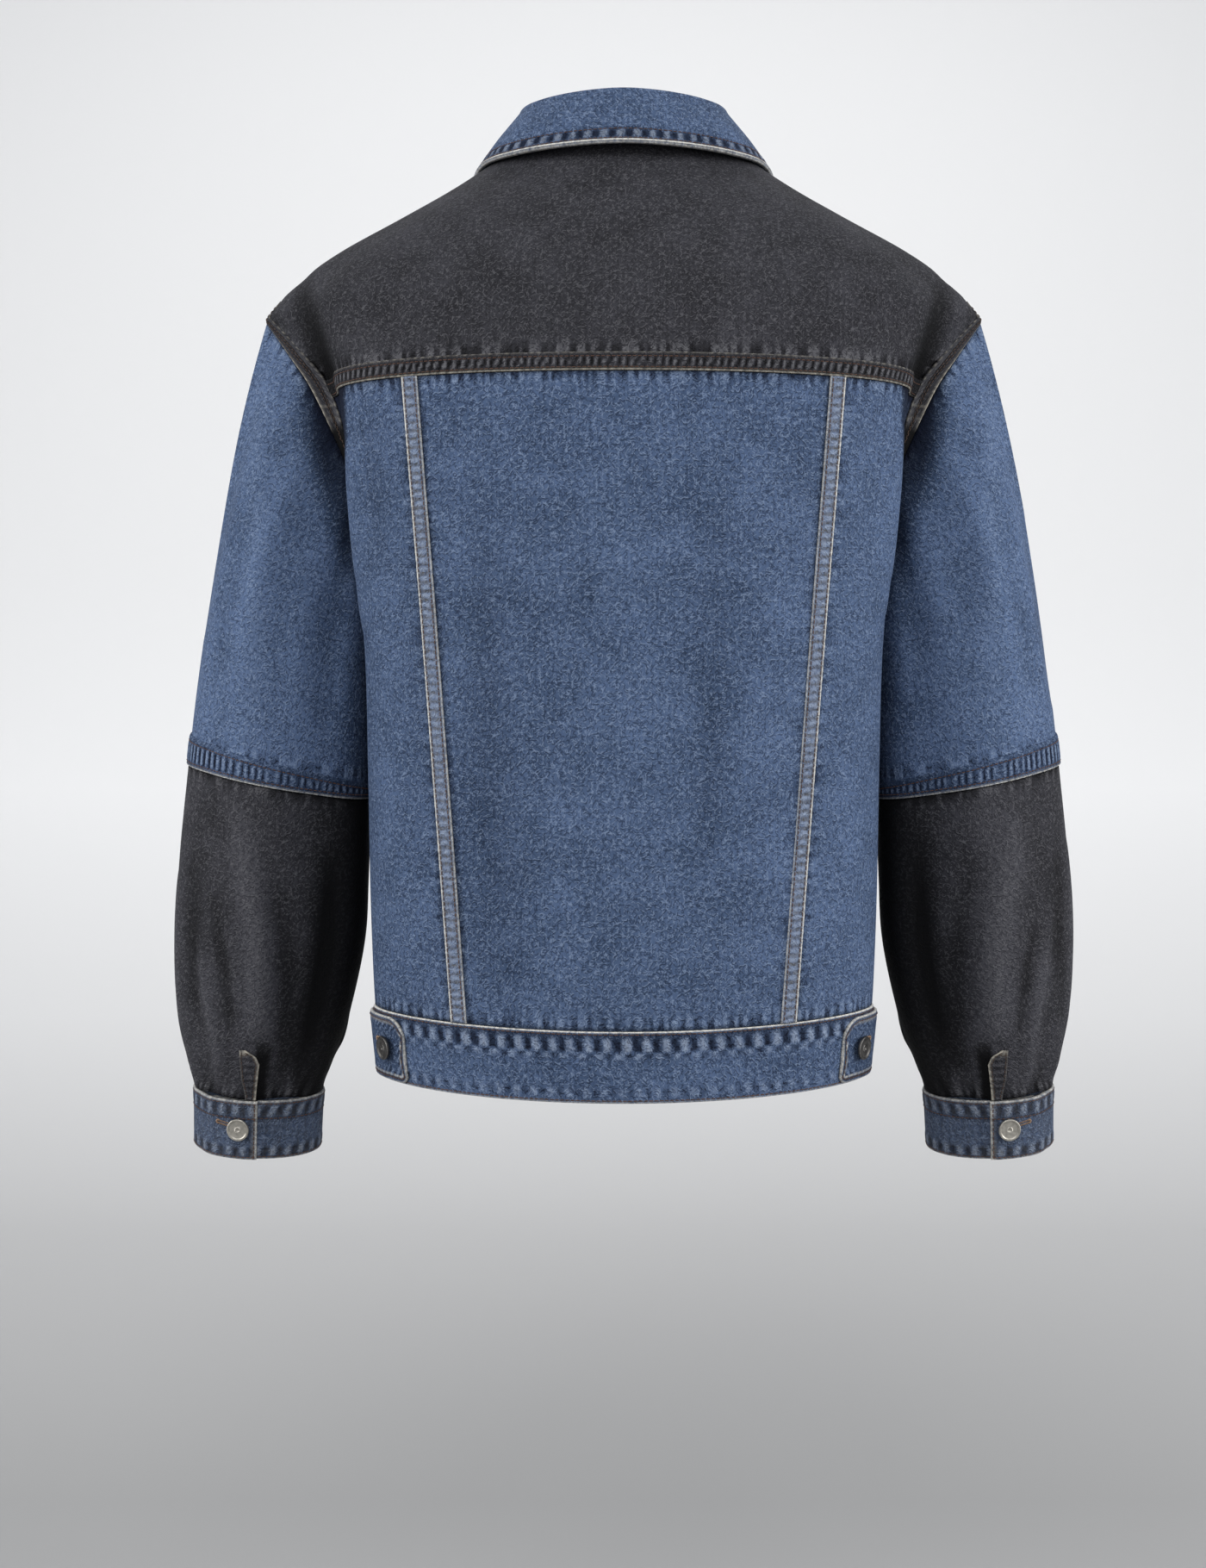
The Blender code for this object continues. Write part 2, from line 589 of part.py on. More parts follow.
def upper_sleeve_point(place, share):
    """A point above the elbow: place is an index of the armhole loop, share goes down."""
    around = armhole_shares()[place]
    angle = 2 * pi * around
    outward = 0.5 * (1 - cos(angle))
    start, _ = cap_start(place)
    end = ring_point(0, around)
    first = Vector((0.12 + 0.75 * sin(angle) ** 2 * outward + 0.18 * outward, 0.22 * sin(angle), -1))
    last = ring_point(1, around) - ring_point(0, around)
    length = (end - start).length
    start_way = first.normalized() * length * CAP_FALL
    end_way = last.normalized() * length
    square, cube = share**2, share**3
    return (
        (2 * cube - 3 * square + 1) * start
        + (cube - 2 * square + share) * start_way
        + (3 * square - 2 * cube) * end
        + (cube - square) * end_way
    )


def mirrored(grid, side):
    return [[Vector((side * point.x, point.y, point.z)) for point in row] for row in grid]


LOWER_COLUMNS = 24
VENT_COLUMN = 6  # the vent's placket covers the cloth from this column to the next
ELBOW_SHARE = 0.93  # the hem begins this far down the upper sleeve


def sleeves():
    loop = range(len(armhole_loop()))
    shares = steps(0, 0.15, 2) + steps(0.3, ELBOW_SHARE, 6) + [1.0]
    upper = [[upper_sleeve_point(place, share) for place in loop] for share in shares]
    normals = grid_normals(upper, True, Vector((-1, 0, 0)))
    for place in loop:  # its upper end faces the armhole's edge squarely
        past = cap_start(place)[1]
        towards = max(0.0, normals[0][place].dot(past))
        normals[0][place] = (normals[0][place] - towards * past).normalized()
    upper_inner = moved(upper, normals, -CLOTH)
    hem = moved(upper, normals, STRIP + SEAM_GAP)[-2:], moved(upper, normals, SEAM_GAP)[-2:]
    drop = SLEEVE_RINGS[0].z - SLEEVE_RINGS[1].z
    places = [2 * SEAM_GAP / drop] + steps(0.5, RING["cuff_top"] - 0.03, 9)
    around = steps(0, 1, LOWER_COLUMNS)[:-1]
    lower = [[ring_point(place, a) for a in around] for place in places]
    lower_inner = [[ring_point(place, a, -CLOTH) for a in around] for place in places]
    for side, name in ((1, "left"), (-1, "right")):
        wall(f"sleeve_upper_{name}", mirrored(upper, side), mirrored(upper_inner, side), BLUE, tube=True)
        wall(f"elbow_seam_{name}", mirrored(hem[0], side), mirrored(hem[1], side), BLUE, tube=True)
        wall(f"sleeve_lower_{name}", mirrored(lower, side), mirrored(lower_inner, side), CHARCOAL, tube=True)
    vent = [places[-4:], around[VENT_COLUMN : VENT_COLUMN + 2]]
    for side, name in ((1, "left"), (-1, "right")):
        layers = [
            [[ring_point(place, a, lift) for a in vent[1]] for place in vent[0]]
            for lift in (STRIP + SEAM_GAP, SEAM_GAP)
        ]
        wall(f"sleeve_placket_{name}", *(mirrored(layer, side) for layer in layers), CHARCOAL)


CUFF_OPEN_AT = 0.257  # where round the wrist the free end of the cuff lies, just past the back
CUFF_UNDERLAP = 0.12  # how far the hidden end runs on below it, as a share of the girth
CUFF_PROUD = 0.0014


def cuffs():
    """Each cuff is a band wound once round: its free end comes from the outer side."""
    over = DOUBLED + SEAM_GAP
    lap = steps(CUFF_OPEN_AT, CUFF_OPEN_AT + CUFF_UNDERLAP, 3)
    route = [(around, over) for around in lap]
    route += [(around, 0.0) for around in steps(lap[-1] + 0.05, 1 + CUFF_OPEN_AT, 18)]
    route += [(1 + around, 0.0) for around in lap[1:]]
    places = steps(RING["cuff_top"], RING["cuff_foot"], 2)

    def lines(drop):
        return [[ring_point(p, a % 1.0, CUFF_PROUD + lift - drop, 0.0) for a, lift in route] for p in places]

    for side, name in ((1, "left"), (-1, "right")):
        wall(f"cuff_{name}", mirrored(lines(0), side), mirrored(lines(DOUBLED), side), BLUE)


# ---------------------------------------------------------------- collar
def neck_point(around):
    """A point of the neck seam: 0 at the back, 0.5 at the shoulder, 1 at the front end."""
    if around <= 0.5:
        return body_point(BACK, LEVEL["neck"], 2 * around)
    end = across_at(FRONT, LEVEL["neck"], COLLAR_FRONT_X)
    return body_point(FRONT, LEVEL["neck"], 1 + (end - 1) * (around - 0.5) * 2)


def collar_profile(around):
    """Points from the neck seam up the stand, over the roll and down the fall."""
    roll = Roll(*spline(ROLLS, around * (len(ROLLS) - 1)))
    base = neck_point(around) + Vector((0, 0, 3 * SEAM_GAP + 0.0025 * max(0, 2 * around - 1)))
    fold = Vector((roll.fold_x, roll.fold_y, roll.fold_z))
    edge = Vector((roll.edge_x, roll.edge_y, roll.edge_z))
    away = edge - base
    away.z = 0
    away.normalize()
    up = Vector((0, 0, 1))
    inside = fold - ROLL_RADIUS * away - 1.2 * ROLL_RADIUS * up
    outside = fold + ROLL_RADIUS * away - 1.2 * ROLL_RADIUS * up
    return [
        base,
        base.lerp(inside, 0.5),
        inside,
        fold - 0.6 * ROLL_RADIUS * away - 0.25 * ROLL_RADIUS * up,
        fold + 0.6 * ROLL_RADIUS * away - 0.25 * ROLL_RADIUS * up,
        outside,
        outside.lerp(edge, 0.5) + 0.0015 * away,
        edge,
    ]


def collar():
    half = [collar_profile(around) for around in steps(0, 1, 16)]
    columns = [[Vector((-p.x, p.y, p.z)) for p in profile] for profile in reversed(half[1:])] + half
    grid = [list(row) for row in zip(*columns)]
    normals = grid_normals(grid, False, Vector((0, 1, 0)))
    wall("collar", grid, moved(grid, normals, -DOUBLED), BLUE)


# ---------------------------------------------------------------- buttons
def button(name, point, normal):
    """A shank button: a domed, rimmed cap turned in one piece with its short shank."""
    radius, height, shank = BUTTON_RADIUS, BUTTON_HEIGHT, 0.0026
    profile = [
        (0.0, height - 0.0006), (0.35 * radius, height - 0.0002), (0.60 * radius, height),
        (0.80 * radius, height - 0.0005), (0.90 * radius, height), (radius, height - 0.0006),
        (radius, height - 0.0018), (shank, height - 0.0022), (shank, SEAM_GAP), (0.0, SEAM_GAP),
    ]
    mesh = bpy.data.meshes.new(name)
    edges = [(index, index + 1) for index in range(len(profile) - 1)]
    mesh.from_pydata([(x, 0, z) for x, z in profile], edges, [])
    mesh.materials.append(material(STEEL))
    piece = bpy.data.objects.new(name, mesh)
    jacket.objects.link(piece)
    turn = piece.modifiers.new("Turn", "SCREW")
    turn.angle = 2 * pi
    turn.steps = turn.render_steps = 12
    turn.use_merge_vertices = True
    turn.merge_threshold = 1e-5
    piece.location = point
    piece.rotation_euler = normal.to_track_quat("Z", "Y").to_euler()


FRONT_BUTTONS = 5
TOP_BUTTON_LEVEL = LEVEL["shoulder_3"]
LOW_BUTTON_LEVEL = LEVEL["band_top"] + 0.6
TAB_BUTTON_X = 0.1615
CUFF_BUTTON_AT = 0.282


def buttons():
    proud = DOUBLED - CLOTH + 2 * SEAM_GAP
    high = body_point(FRONT, TOP_BUTTON_LEVEL, 0).z
    low = body_point(FRONT, LOW_BUTTON_LEVEL, 0).z
    levels = steps(LEVEL["band_top"], LEVEL["neck"], 400)
    for number, height in enumerate(steps(high, low, FRONT_BUTTONS - 1), 1):
        level = min(levels, key=lambda place: abs(body_point(FRONT, place, 0).z - height))
        normal = body_normal(FRONT, level, 0)
        button(f"front_button_{number}", body_point(FRONT, level, 0) + proud * normal, normal)
    normal = body_normal(FRONT, 0.5, 0)
    lift = BAND_PROUD + DOUBLED + SEAM_GAP
    button("waist_button", body_point(FRONT, 0.5, 0) + lift * normal, normal)
    for side, name in ((1, "left"), (-1, "right")):
        across = side * across_at(BACK, 0.42, TAB_BUTTON_X)
        normal = body_normal(BACK, 0.42, across)
        button(f"tab_button_{name}", body_point(BACK, 0.42, across) + TAB_LIFT * normal, normal)
        middle = (RING["cuff_top"] + RING["cuff_foot"]) / 2
        lift = CUFF_PROUD + DOUBLED + SEAM_GAP
        point = ring_point(middle, CUFF_BUTTON_AT, lift, 0.0)
        normal = (ring_point(middle, CUFF_BUTTON_AT, lift + 0.01, 0.0) - point).normalized()
        point.x, normal.x = side * point.x, side * normal.x
        button(f"cuff_button_{name}", point, normal)


for left_over in list(bpy.data.objects):
    bpy.data.objects.remove(left_over)
jacket = bpy.data.collections.new("denim_jacket")
bpy.context.scene.collection.children.link(jacket)

back_yoke()
back_panels()
front_panels()
button_bands()
armhole_seams()
waistband()
waist_tabs()
sleeves()
cuffs()
collar()
buttons()
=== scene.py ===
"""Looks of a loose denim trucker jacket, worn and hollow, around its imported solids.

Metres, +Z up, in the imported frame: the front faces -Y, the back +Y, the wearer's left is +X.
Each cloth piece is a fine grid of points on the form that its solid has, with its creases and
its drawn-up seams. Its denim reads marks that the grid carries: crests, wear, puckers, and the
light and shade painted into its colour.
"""

from collections import namedtuple
from math import ceil, cos, pi, radians, sin

import bpy
import numpy as np
from mathutils import Matrix, Vector


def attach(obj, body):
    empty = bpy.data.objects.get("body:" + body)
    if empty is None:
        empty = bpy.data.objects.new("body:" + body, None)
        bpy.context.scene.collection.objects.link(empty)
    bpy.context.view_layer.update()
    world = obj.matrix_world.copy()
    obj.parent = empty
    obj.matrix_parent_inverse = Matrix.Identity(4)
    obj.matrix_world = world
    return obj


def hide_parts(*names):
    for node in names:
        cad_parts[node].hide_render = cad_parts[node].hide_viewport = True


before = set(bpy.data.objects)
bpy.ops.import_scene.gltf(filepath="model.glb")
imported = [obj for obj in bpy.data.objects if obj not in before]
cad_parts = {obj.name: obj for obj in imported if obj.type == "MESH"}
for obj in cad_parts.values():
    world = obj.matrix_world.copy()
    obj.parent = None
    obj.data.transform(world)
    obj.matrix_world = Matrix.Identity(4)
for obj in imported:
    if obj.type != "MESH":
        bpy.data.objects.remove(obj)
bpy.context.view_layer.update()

# ------------------------------------------------------------------- back middle panel
# The widest panel of the back, cut on the straight from 14 oz indigo denim, washed until its
# surface crinkles. The form of the whole body is stated here, a row for each level from the
# hem to the neck, as half sections that turn at a ridge and end at the side or the armhole.
CLOTH = 0.0016  # thickness of one layer of denim with what is folded in at its seams
SEAM_GAP = 0.0003  # pieces that are sewn together are this far apart
BACK, FRONT = 1, -1
LEVEL_FIELDS = "name mid_out mid_z ridge_x ridge_out ridge_turn edge_x edge_out edge_z edge_turn"
Level = namedtuple("Level", LEVEL_FIELDS)
BACK_LEVELS = [
    Level("hem", 0.1400, -0.6465, 0.1680, 0.032, 90, 0.1665, 0.000, -0.6400, 90),
    Level("band_top", 0.1405, -0.5995, 0.1725, 0.034, 90, 0.1710, 0.000, -0.5920, 90),
    Level("waist", 0.1410, -0.5200, 0.1755, 0.035, 90, 0.1725, -0.002, -0.520, 91),
    Level("ribs", 0.1400, -0.4400, 0.1770, 0.036, 90, 0.1720, -0.004, -0.440, 92),
    Level("chest", 0.1400, -0.3600, 0.1785, 0.040, 90, 0.1710, -0.006, -0.360, 94),
    Level("underarm", 0.1410, -0.3000, 0.1820, 0.044, 90, 0.1700, -0.008, -0.300, 96),
    Level("scoop", 0.1410, -0.2820, 0.1840, 0.046, 90, 0.1725, 0.007, -0.284, 92),
    Level("armhole", 0.1410, -0.2400, 0.1880, 0.050, 90, 0.1830, 0.019, -0.240, 80),
    Level("yoke", 0.1385, -0.1725, 0.1950, 0.058, 88, 0.2145, 0.025, -0.171, 25),
    Level("blade", 0.1335, -0.1400, 0.2030, 0.066, 66, 0.2335, 0.020, -0.140, 50),
    Level("tip", 0.1265, -0.1120, 0.2060, 0.071, 52, 0.2535, 0.003, -0.112, 82),
    Level("shoulder_1", 0.1170, -0.0890, 0.1880, 0.070, 46, 0.2310, 0.004, -0.0890, 90),
    Level("shoulder_2", 0.1080, -0.0690, 0.1640, 0.067, 44, 0.2030, 0.005, -0.0690, 90),
    Level("shoulder_3", 0.0970, -0.0465, 0.1300, 0.062, 43, 0.1610, 0.006, -0.0465, 90),
    Level("shoulder_4", 0.0830, -0.0245, 0.0980, 0.054, 42, 0.1230, 0.005, -0.0245, 90),
    Level("neck", 0.0650, 0.0020, 0.0660, 0.043, 42, 0.0840, 0.003, 0.002, 90),
]
FRONT_LEVELS = [
    Level("hem", 0.1260, -0.6410, 0.1660, 0.036, 90, 0.1665, 0.000, -0.6400, 90),
    Level("band_top", 0.1265, -0.5945, 0.1705, 0.038, 90, 0.1710, 0.000, -0.5920, 90),
    Level("waist", 0.1290, -0.5200, 0.1730, 0.040, 90, 0.1725, 0.002, -0.520, 89),
    Level("ribs", 0.1330, -0.4400, 0.1735, 0.042, 90, 0.1720, 0.004, -0.440, 88),
    Level("chest", 0.1370, -0.3620, 0.1745, 0.048, 90, 0.1710, 0.006, -0.360, 88),
    Level("underarm", 0.1390, -0.3050, 0.1755, 0.054, 90, 0.1700, 0.008, -0.300, 86),
    Level("scoop", 0.1390, -0.2880, 0.1765, 0.056, 90, 0.1720, 0.026, -0.284, 86),
    Level("armhole", 0.1380, -0.2500, 0.1790, 0.062, 88, 0.1800, 0.044, -0.240, 78),
    Level("yoke", 0.1330, -0.2050, 0.1850, 0.070, 78, 0.2050, 0.048, -0.171, 40),
    Level("blade", 0.1290, -0.1740, 0.1900, 0.073, 64, 0.2300, 0.034, -0.140, 50),
    Level("tip", 0.1230, -0.1500, 0.1940, 0.070, 54, 0.2535, -0.003, -0.112, 82),
    Level("shoulder_1", 0.1170, -0.1310, 0.1780, 0.069, 48, 0.2310, -0.004, -0.0890, 90),
    Level("shoulder_2", 0.1110, -0.1150, 0.1560, 0.068, 46, 0.2030, -0.005, -0.0690, 90),
    Level("shoulder_3", 0.1040, -0.1020, 0.1250, 0.067, 44, 0.1610, -0.006, -0.0465, 90),
    Level("shoulder_4", 0.0960, -0.0880, 0.0950, 0.063, 42, 0.1230, -0.005, -0.0245, 90),
    Level("neck", 0.0870, -0.0730, 0.0640, 0.057, 42, 0.0840, -0.003, 0.002, 90),
]
LEVEL = {row.name: index for index, row in enumerate(BACK_LEVELS)}
BODY = {BACK: np.array([row[1:] for row in BACK_LEVELS]),
        FRONT: np.array([row[1:] for row in FRONT_LEVELS])}
CORNERS = (LEVEL["underarm"], LEVEL["tip"])
RIDGE_AT = 0.75  # share of a half section that lies before its ridge
FULLNESS = 0.56  # how far the flat of a face runs on before it turns at the ridge
FLANK_PULL = 0.42  # how far the flank bulges between the ridge and the edge
LEVEL_SHARE = 0.0035  # half a seam's gap as a share of the step between two levels
EDGE_SHARE = 0.0008  # and as a share of the way across


def unit(way):
    return way / np.linalg.norm(way, axis=-1, keepdims=True)


def hermite(start, start_way, end, end_way, share):
    square, cube = share**2, share**3
    return (
        (2 * cube - 3 * square + 1) * start
        + (cube - 2 * square + share) * start_way
        + (3 * square - 2 * cube) * end
        + (cube - square) * end_way
    )


def spline(table, place, breaks=()):
    """Rows of a table at fractional places, on a curve through them with corners at breaks."""
    table, place = np.asarray(table, float), np.asarray(place, float)
    last = len(table) - 1
    low = np.clip(np.floor(place).astype(int), 0, last - 1)
    before = np.where(np.isin(low, breaks), low, np.maximum(low - 1, 0))
    after = np.where(np.isin(low + 1, breaks), low + 1, np.minimum(low + 2, last))
    wide = place.shape + (1,) * (table.ndim - 1)
    start_way = (table[low + 1] - table[before]) / (low + 1 - before).reshape(wide)
    end_way = (table[after] - table[low]) / (after - low).reshape(wide)
    return hermite(table[low], start_way, table[low + 1], end_way, (place - low).reshape(wide))


def bezier(start, leave, arrive, end, share):
    rest = 1 - share
    return rest**3 * start + 3 * rest**2 * share * leave + 3 * rest * share**2 * arrive + share**3 * end


def body_form(face, level, across):
    """Points of the body's outer side. Across is 0 at the middle and 1 at the wearer's left edge."""
    level, across = np.broadcast_arrays(np.asarray(level, float), np.asarray(across, float))
    smooth = np.moveaxis(spline(BODY[face], level), -1, 0)
    cornered = np.moveaxis(spline(BODY[face], level, CORNERS), -1, 0)
    row = Level("", *smooth[:5], *cornered[5:])
    middle = np.stack((0 * level, row.mid_out), -1)
    ridge = np.stack((row.ridge_x, row.ridge_out), -1)
    edge = np.stack((row.edge_x, row.edge_out), -1)
    ridge_way = np.stack((np.cos(np.radians(row.ridge_turn)), -np.sin(np.radians(row.ridge_turn))), -1)
    edge_way = np.stack((np.cos(np.radians(row.edge_turn)), -np.sin(np.radians(row.edge_turn))), -1)
    leave = middle + np.stack((FULLNESS * row.ridge_x, 0 * level), -1)
    arrive = ridge - ridge_way * (FULLNESS * (row.mid_out - row.ridge_out))[..., None]
    share = np.abs(across)[..., None]
    before = bezier(middle, leave, arrive, ridge, share / RIDGE_AT)
    pull = FLANK_PULL * np.linalg.norm(edge - ridge, axis=-1, keepdims=True)
    flank = (share - RIDGE_AT) / (1 - RIDGE_AT)
    beyond = bezier(ridge, ridge + ridge_way * pull, edge - edge_way * pull, edge, flank)
    x, out = np.moveaxis(np.where(share < RIDGE_AT, before, beyond), -1, 0)
    z = row.mid_z + (row.edge_z - row.mid_z) * (x / row.edge_x) ** 2
    return np.stack((np.where(across >= 0, x, -x), face * out, z), -1)


def face_normal(face, level, across, step=1e-3):
    up = body_form(face, level + step, across) - body_form(face, level - step, across)
    left = body_form(face, level, across + step) - body_form(face, level, across - step)
    return face * unit(np.cross(up, left))


def body_normal(face, level, across):
    """The way out from the wearer. Back and front share it along the side and shoulder seams."""
    level, across = np.broadcast_arrays(np.asarray(level, float), np.asarray(across, float))
    own = face_normal(face, level, across)
    edge = np.where(across > 0, 1.0, -1.0)
    common = unit(face_normal(BACK, level, edge) + face_normal(FRONT, level, edge))
    inside = np.minimum(level - LEVEL["underarm"], LEVEL["tip"] - level)
    shared = np.clip((np.abs(across) - 0.85) / 0.15, 0, 1) * np.clip(1 - inside / 0.5, 0, 1)
    return unit(own + (common - own) * shared[..., None])


def across_at(face, level, x):
    """How far across the body this x lies, found by halving."""
    level, x = np.broadcast_arrays(np.asarray(level, float), np.asarray(x, float))
    low, high = np.zeros(x.shape), np.full(x.shape, RIDGE_AT)
    for _ in range(26):
        middle = (low + high) / 2
        short = body_form(face, level, middle)[..., 0] < np.abs(x)
        low, high = np.where(short, middle, low), np.where(short, high, middle)
    return np.where(x >= 0, low, -low)


def run_lengths(points, axis):
    """Metres from the first point along the rows (1) or the columns (0) of a grid."""
    step = np.linalg.norm(np.diff(points, axis=axis), axis=-1)
    start = np.zeros_like(np.take(step, [0], axis=axis))
    return np.concatenate((start, np.cumsum(step, axis=axis)), axis=axis)


class Cloth:
    """A grid of points on the outer side of a piece: columns go round it and rows go up it."""

    def __init__(self, points, normals):
        self.points, self.normals = points, normals
        self.left, self.foot = run_lengths(points, 1), run_lengths(points, 0)
        self.right, self.top = self.left[:, -1:] - self.left, self.foot[-1:] - self.foot

    def moved(self, relief):
        shifted = Cloth(self.points + self.normals * relief[..., None], self.normals)
        shifted.left, shifted.right, shifted.foot, shifted.top = self.left, self.right, self.foot, self.top
        return shifted

    def line(self, inset, side):
        """The points and normals a stated way in from one side: left, right, foot or top."""
        way_in = getattr(self, side)
        upright = side in ("left", "right")
        points = self.points if upright else self.points.transpose(1, 0, 2)
        normals = self.normals if upright else self.normals.transpose(1, 0, 2)
        way_in = way_in if upright else way_in.T
        if side in ("right", "top"):
            points, normals, way_in = points[:, ::-1], normals[:, ::-1], way_in[:, ::-1]
        picked = []
        for run, *channels in zip(way_in, *np.moveaxis(np.concatenate((points, normals), -1), -1, 0)):
            picked.append([np.interp(inset, run, channel) for channel in channels])
        picked = np.array(picked)
        return picked[:, :3], picked[:, 3:]


def shares(length, step, edge=0.0):
    """Places from 0 to 1 a step apart, with close lines at both ends where the edge is rounded."""
    count = max(int(ceil(length / step)), 2)
    even = np.linspace(0, 1, count + 1)
    if not edge:
        return even
    close = np.array([0.0, 0.3, 0.7, 1.4]) * edge / length
    inner = even[(even > close[-1] * 1.3) & (even < 1 - close[-1] * 1.3)]
    return np.concatenate((close, inner, 1 - close[::-1]))


def rolled(way_in, thickness, reach=0.0010):
    """How far the turned edge of a piece falls away near its side."""
    turned = np.clip(1 - way_in / reach, 0, 1)
    return -0.45 * thickness * (1 - np.sqrt(1 - turned**2 * 0.999))


def uneven(run, spacing, seed):
    """A smooth line of random heights from -1 to 1, one every spacing along a run."""
    heights = np.random.default_rng(seed).uniform(-1, 1, 3000)
    return spline(heights[:, None], np.asarray(run) / spacing)[..., 0]


PUCKER = 0.0056  # how far apart the puckers of a washed seam are


def puckers(run, seed, spacing=PUCKER):
    """Rounded waves along a seam that its thread draws up, uneven in length and height."""
    phase = 2 * pi * run / spacing + 1.5 * uneven(run, 4 * spacing, seed)
    return np.sin(phase) * (0.75 + 0.25 * uneven(run, 3 * spacing, seed + 1))


Crease = namedtuple("Crease", "u v to_u to_v bow width depth")  # both its ends in metres on the cloth


def creased(u, v, creases):
    """How far the cloth stands out (or lies in, below zero) along its creases."""
    total = np.zeros(np.broadcast(u, v).shape)
    for crease in creases:
        way = np.array((crease.to_u - crease.u, crease.to_v - crease.v))
        length = np.linalg.norm(way)
        along = ((u - crease.u) * way[0] + (v - crease.v) * way[1]) / length**2
        aside = ((v - crease.v) * way[0] - (u - crease.u) * way[1]) / length
        aside = aside - crease.bow * 4 * along * (1 - along)
        held = np.clip(4 * along * (1 - along), 0, 1) ** 0.6
        total += crease.depth * np.exp(-((aside / crease.width) ** 2)) * held
    return total


def near(way_in, reach):
    """1 on an edge, fading to 0 over its reach."""
    return np.exp(-((way_in / reach) ** 2))


# What the grid tells its denim: its crests, paler above zero as rubbed cloth with a painted highlight,
# and darker below zero as painted shadow; what is rubbed bare; where a seam draws up the cloth along
# its rows or its columns; and shade, painted light above zero and painted shade below it.
MARKS = ("crest", "worn", "rows_drawn", "columns_drawn", "shade")


def sew(name, cloth, thickness, cloths, marks, closed=False):
    """The closed mesh of a piece: its outer side, its reverse and the cut edges between them."""
    rows, columns = cloth.points.shape[:2]
    kept = columns - 1 if closed else columns
    sheet = rows * kept
    index = np.arange(sheet).reshape(rows, kept)
    place = np.arange(rows * columns).reshape(rows, columns)
    if closed:
        index = np.concatenate((index, index[:, :1]), 1)

    def corners(grid):
        return np.stack((grid[:-1, :-1], grid[:-1, 1:], grid[1:, 1:], grid[1:, :-1]), -1).reshape(-1, 4)

    def rim(grid, shift):
        sides = [(grid[0, 1:], grid[0, :-1]), (grid[-1, :-1], grid[-1, 1:])]
        if not closed:
            sides += [(grid[:-1, 0], grid[1:, 0]), (grid[1:, -1], grid[:-1, -1])]
        return np.concatenate([np.stack((a, b, b + shift, a + shift), -1) for a, b in sides])

    faces = np.concatenate((corners(index), sheet + corners(index)[:, ::-1], rim(index, sheet)))
    places = np.concatenate((corners(place), corners(place)[:, ::-1], rim(place, 0)))
    outer = cloth.points[:, :kept].reshape(-1, 3)
    inner = (cloth.points - thickness * cloth.normals)[:, :kept].reshape(-1, 3)
    points = np.concatenate((outer, inner))
    a, b, c, d = points[faces.T]
    if (a * (np.cross(b, c) + np.cross(c, d))).sum() < 0:
        faces, places = faces[:, ::-1], places[:, ::-1]
    mesh = bpy.data.meshes.new(name)
    mesh.from_pydata(points.tolist(), [], faces.tolist())
    aside = cloth.left if closed else cloth.left - cloth.left[:, columns // 2, None]
    flat = np.stack((aside, cloth.foot), -1).reshape(-1, 2)
    mesh.uv_layers.new(name="cloth").data.foreach_set("uv", flat[places.ravel()].ravel())
    for mark in MARKS:
        values = np.broadcast_to(marks.get(mark, 0.0), (rows, columns))[:, :kept].ravel()
        mesh.attributes.new(mark, "FLOAT", "POINT").data.foreach_set("value", np.tile(values, 2))
    for material in cloths:
        mesh.materials.append(material)
    reverse = np.zeros(len(faces), int)
    reverse[(rows - 1) * (columns - 1) : 2 * (rows - 1) * (columns - 1)] = 1
    mesh.polygons.foreach_set("material_index", reverse)
    mesh.shade_smooth()
    mesh.update()
    piece = bpy.data.objects.new(name, mesh)
    bpy.context.scene.collection.objects.link(piece)
    return piece


def colour(code):
    """Linear red, green, blue and alpha of an sRGB hex value."""
    parts = [int(code[at : at + 2], 16) / 255 for at in (0, 2, 4)]
    return (*(part / 12.92 if part <= 0.04045 else ((part + 0.055) / 1.055) ** 2.4 for part in parts), 1.0)


def add(tree, kind, *sources, output=0, **settings):
    """One output of a new node. Sources fill its sockets in turn; settings go by socket or property."""
    node = tree.nodes.new(kind)
    for key, value in [*enumerate(sources), *settings.items()]:
        if isinstance(value, bpy.types.NodeSocket):
            tree.links.new(value, node.inputs[key])
        elif isinstance(key, int) or key in node.inputs:
            node.inputs[key].default_value = value
        else:
            setattr(node, key, value)
    return node.outputs[output]


def plain_material(name, roughness, specular):
    material = bpy.data.materials.new(name)
    material.use_nodes = True
    tree = material.node_tree
    shader = tree.nodes["Principled BSDF"]
    shader.inputs["Roughness"].default_value = roughness
    shader.inputs["Specular IOR Level"].default_value = specular
    return material, tree, shader


MM = 0.001
# A wash's colours: two dyed tones, a pale for rubbed crests and painted highlight, a near black for painted
# shadow and painted shade, and a beige for bare edges.
Wash = namedtuple("Wash", "deep plain faded bruised worn crinkle_shown bump")
INDIGO = Wash("34445e", "56698a", "8495b0", "0c1426", "e4e1d8", 0.58, 0.9)
BLACK = Wash("252529", "3f3f45", "6f6f73", "060608", "b9b3a6", 0.40, 0.9)
SLUB = 1.6 * MM  # spacing of uneven warp threads
Crinkles = namedtuple("Crinkles", "spacing offset breaks")
PALE_CRINKLES = [Crinkles(3.5 * MM, (0.31, 0.17, 0.0), 3.6 * MM),
                 Crinkles(2.7 * MM, (0.5, 0.9, 0.0), 3.0 * MM)]
CRINKLE_SHADOWS = [Crinkles(3.5 * MM, (0.3104, 0.1708, 0.0), 3.2 * MM),
                 Crinkles(2.9 * MM, (0.8, 0.1, 0.0), 2.8 * MM)]


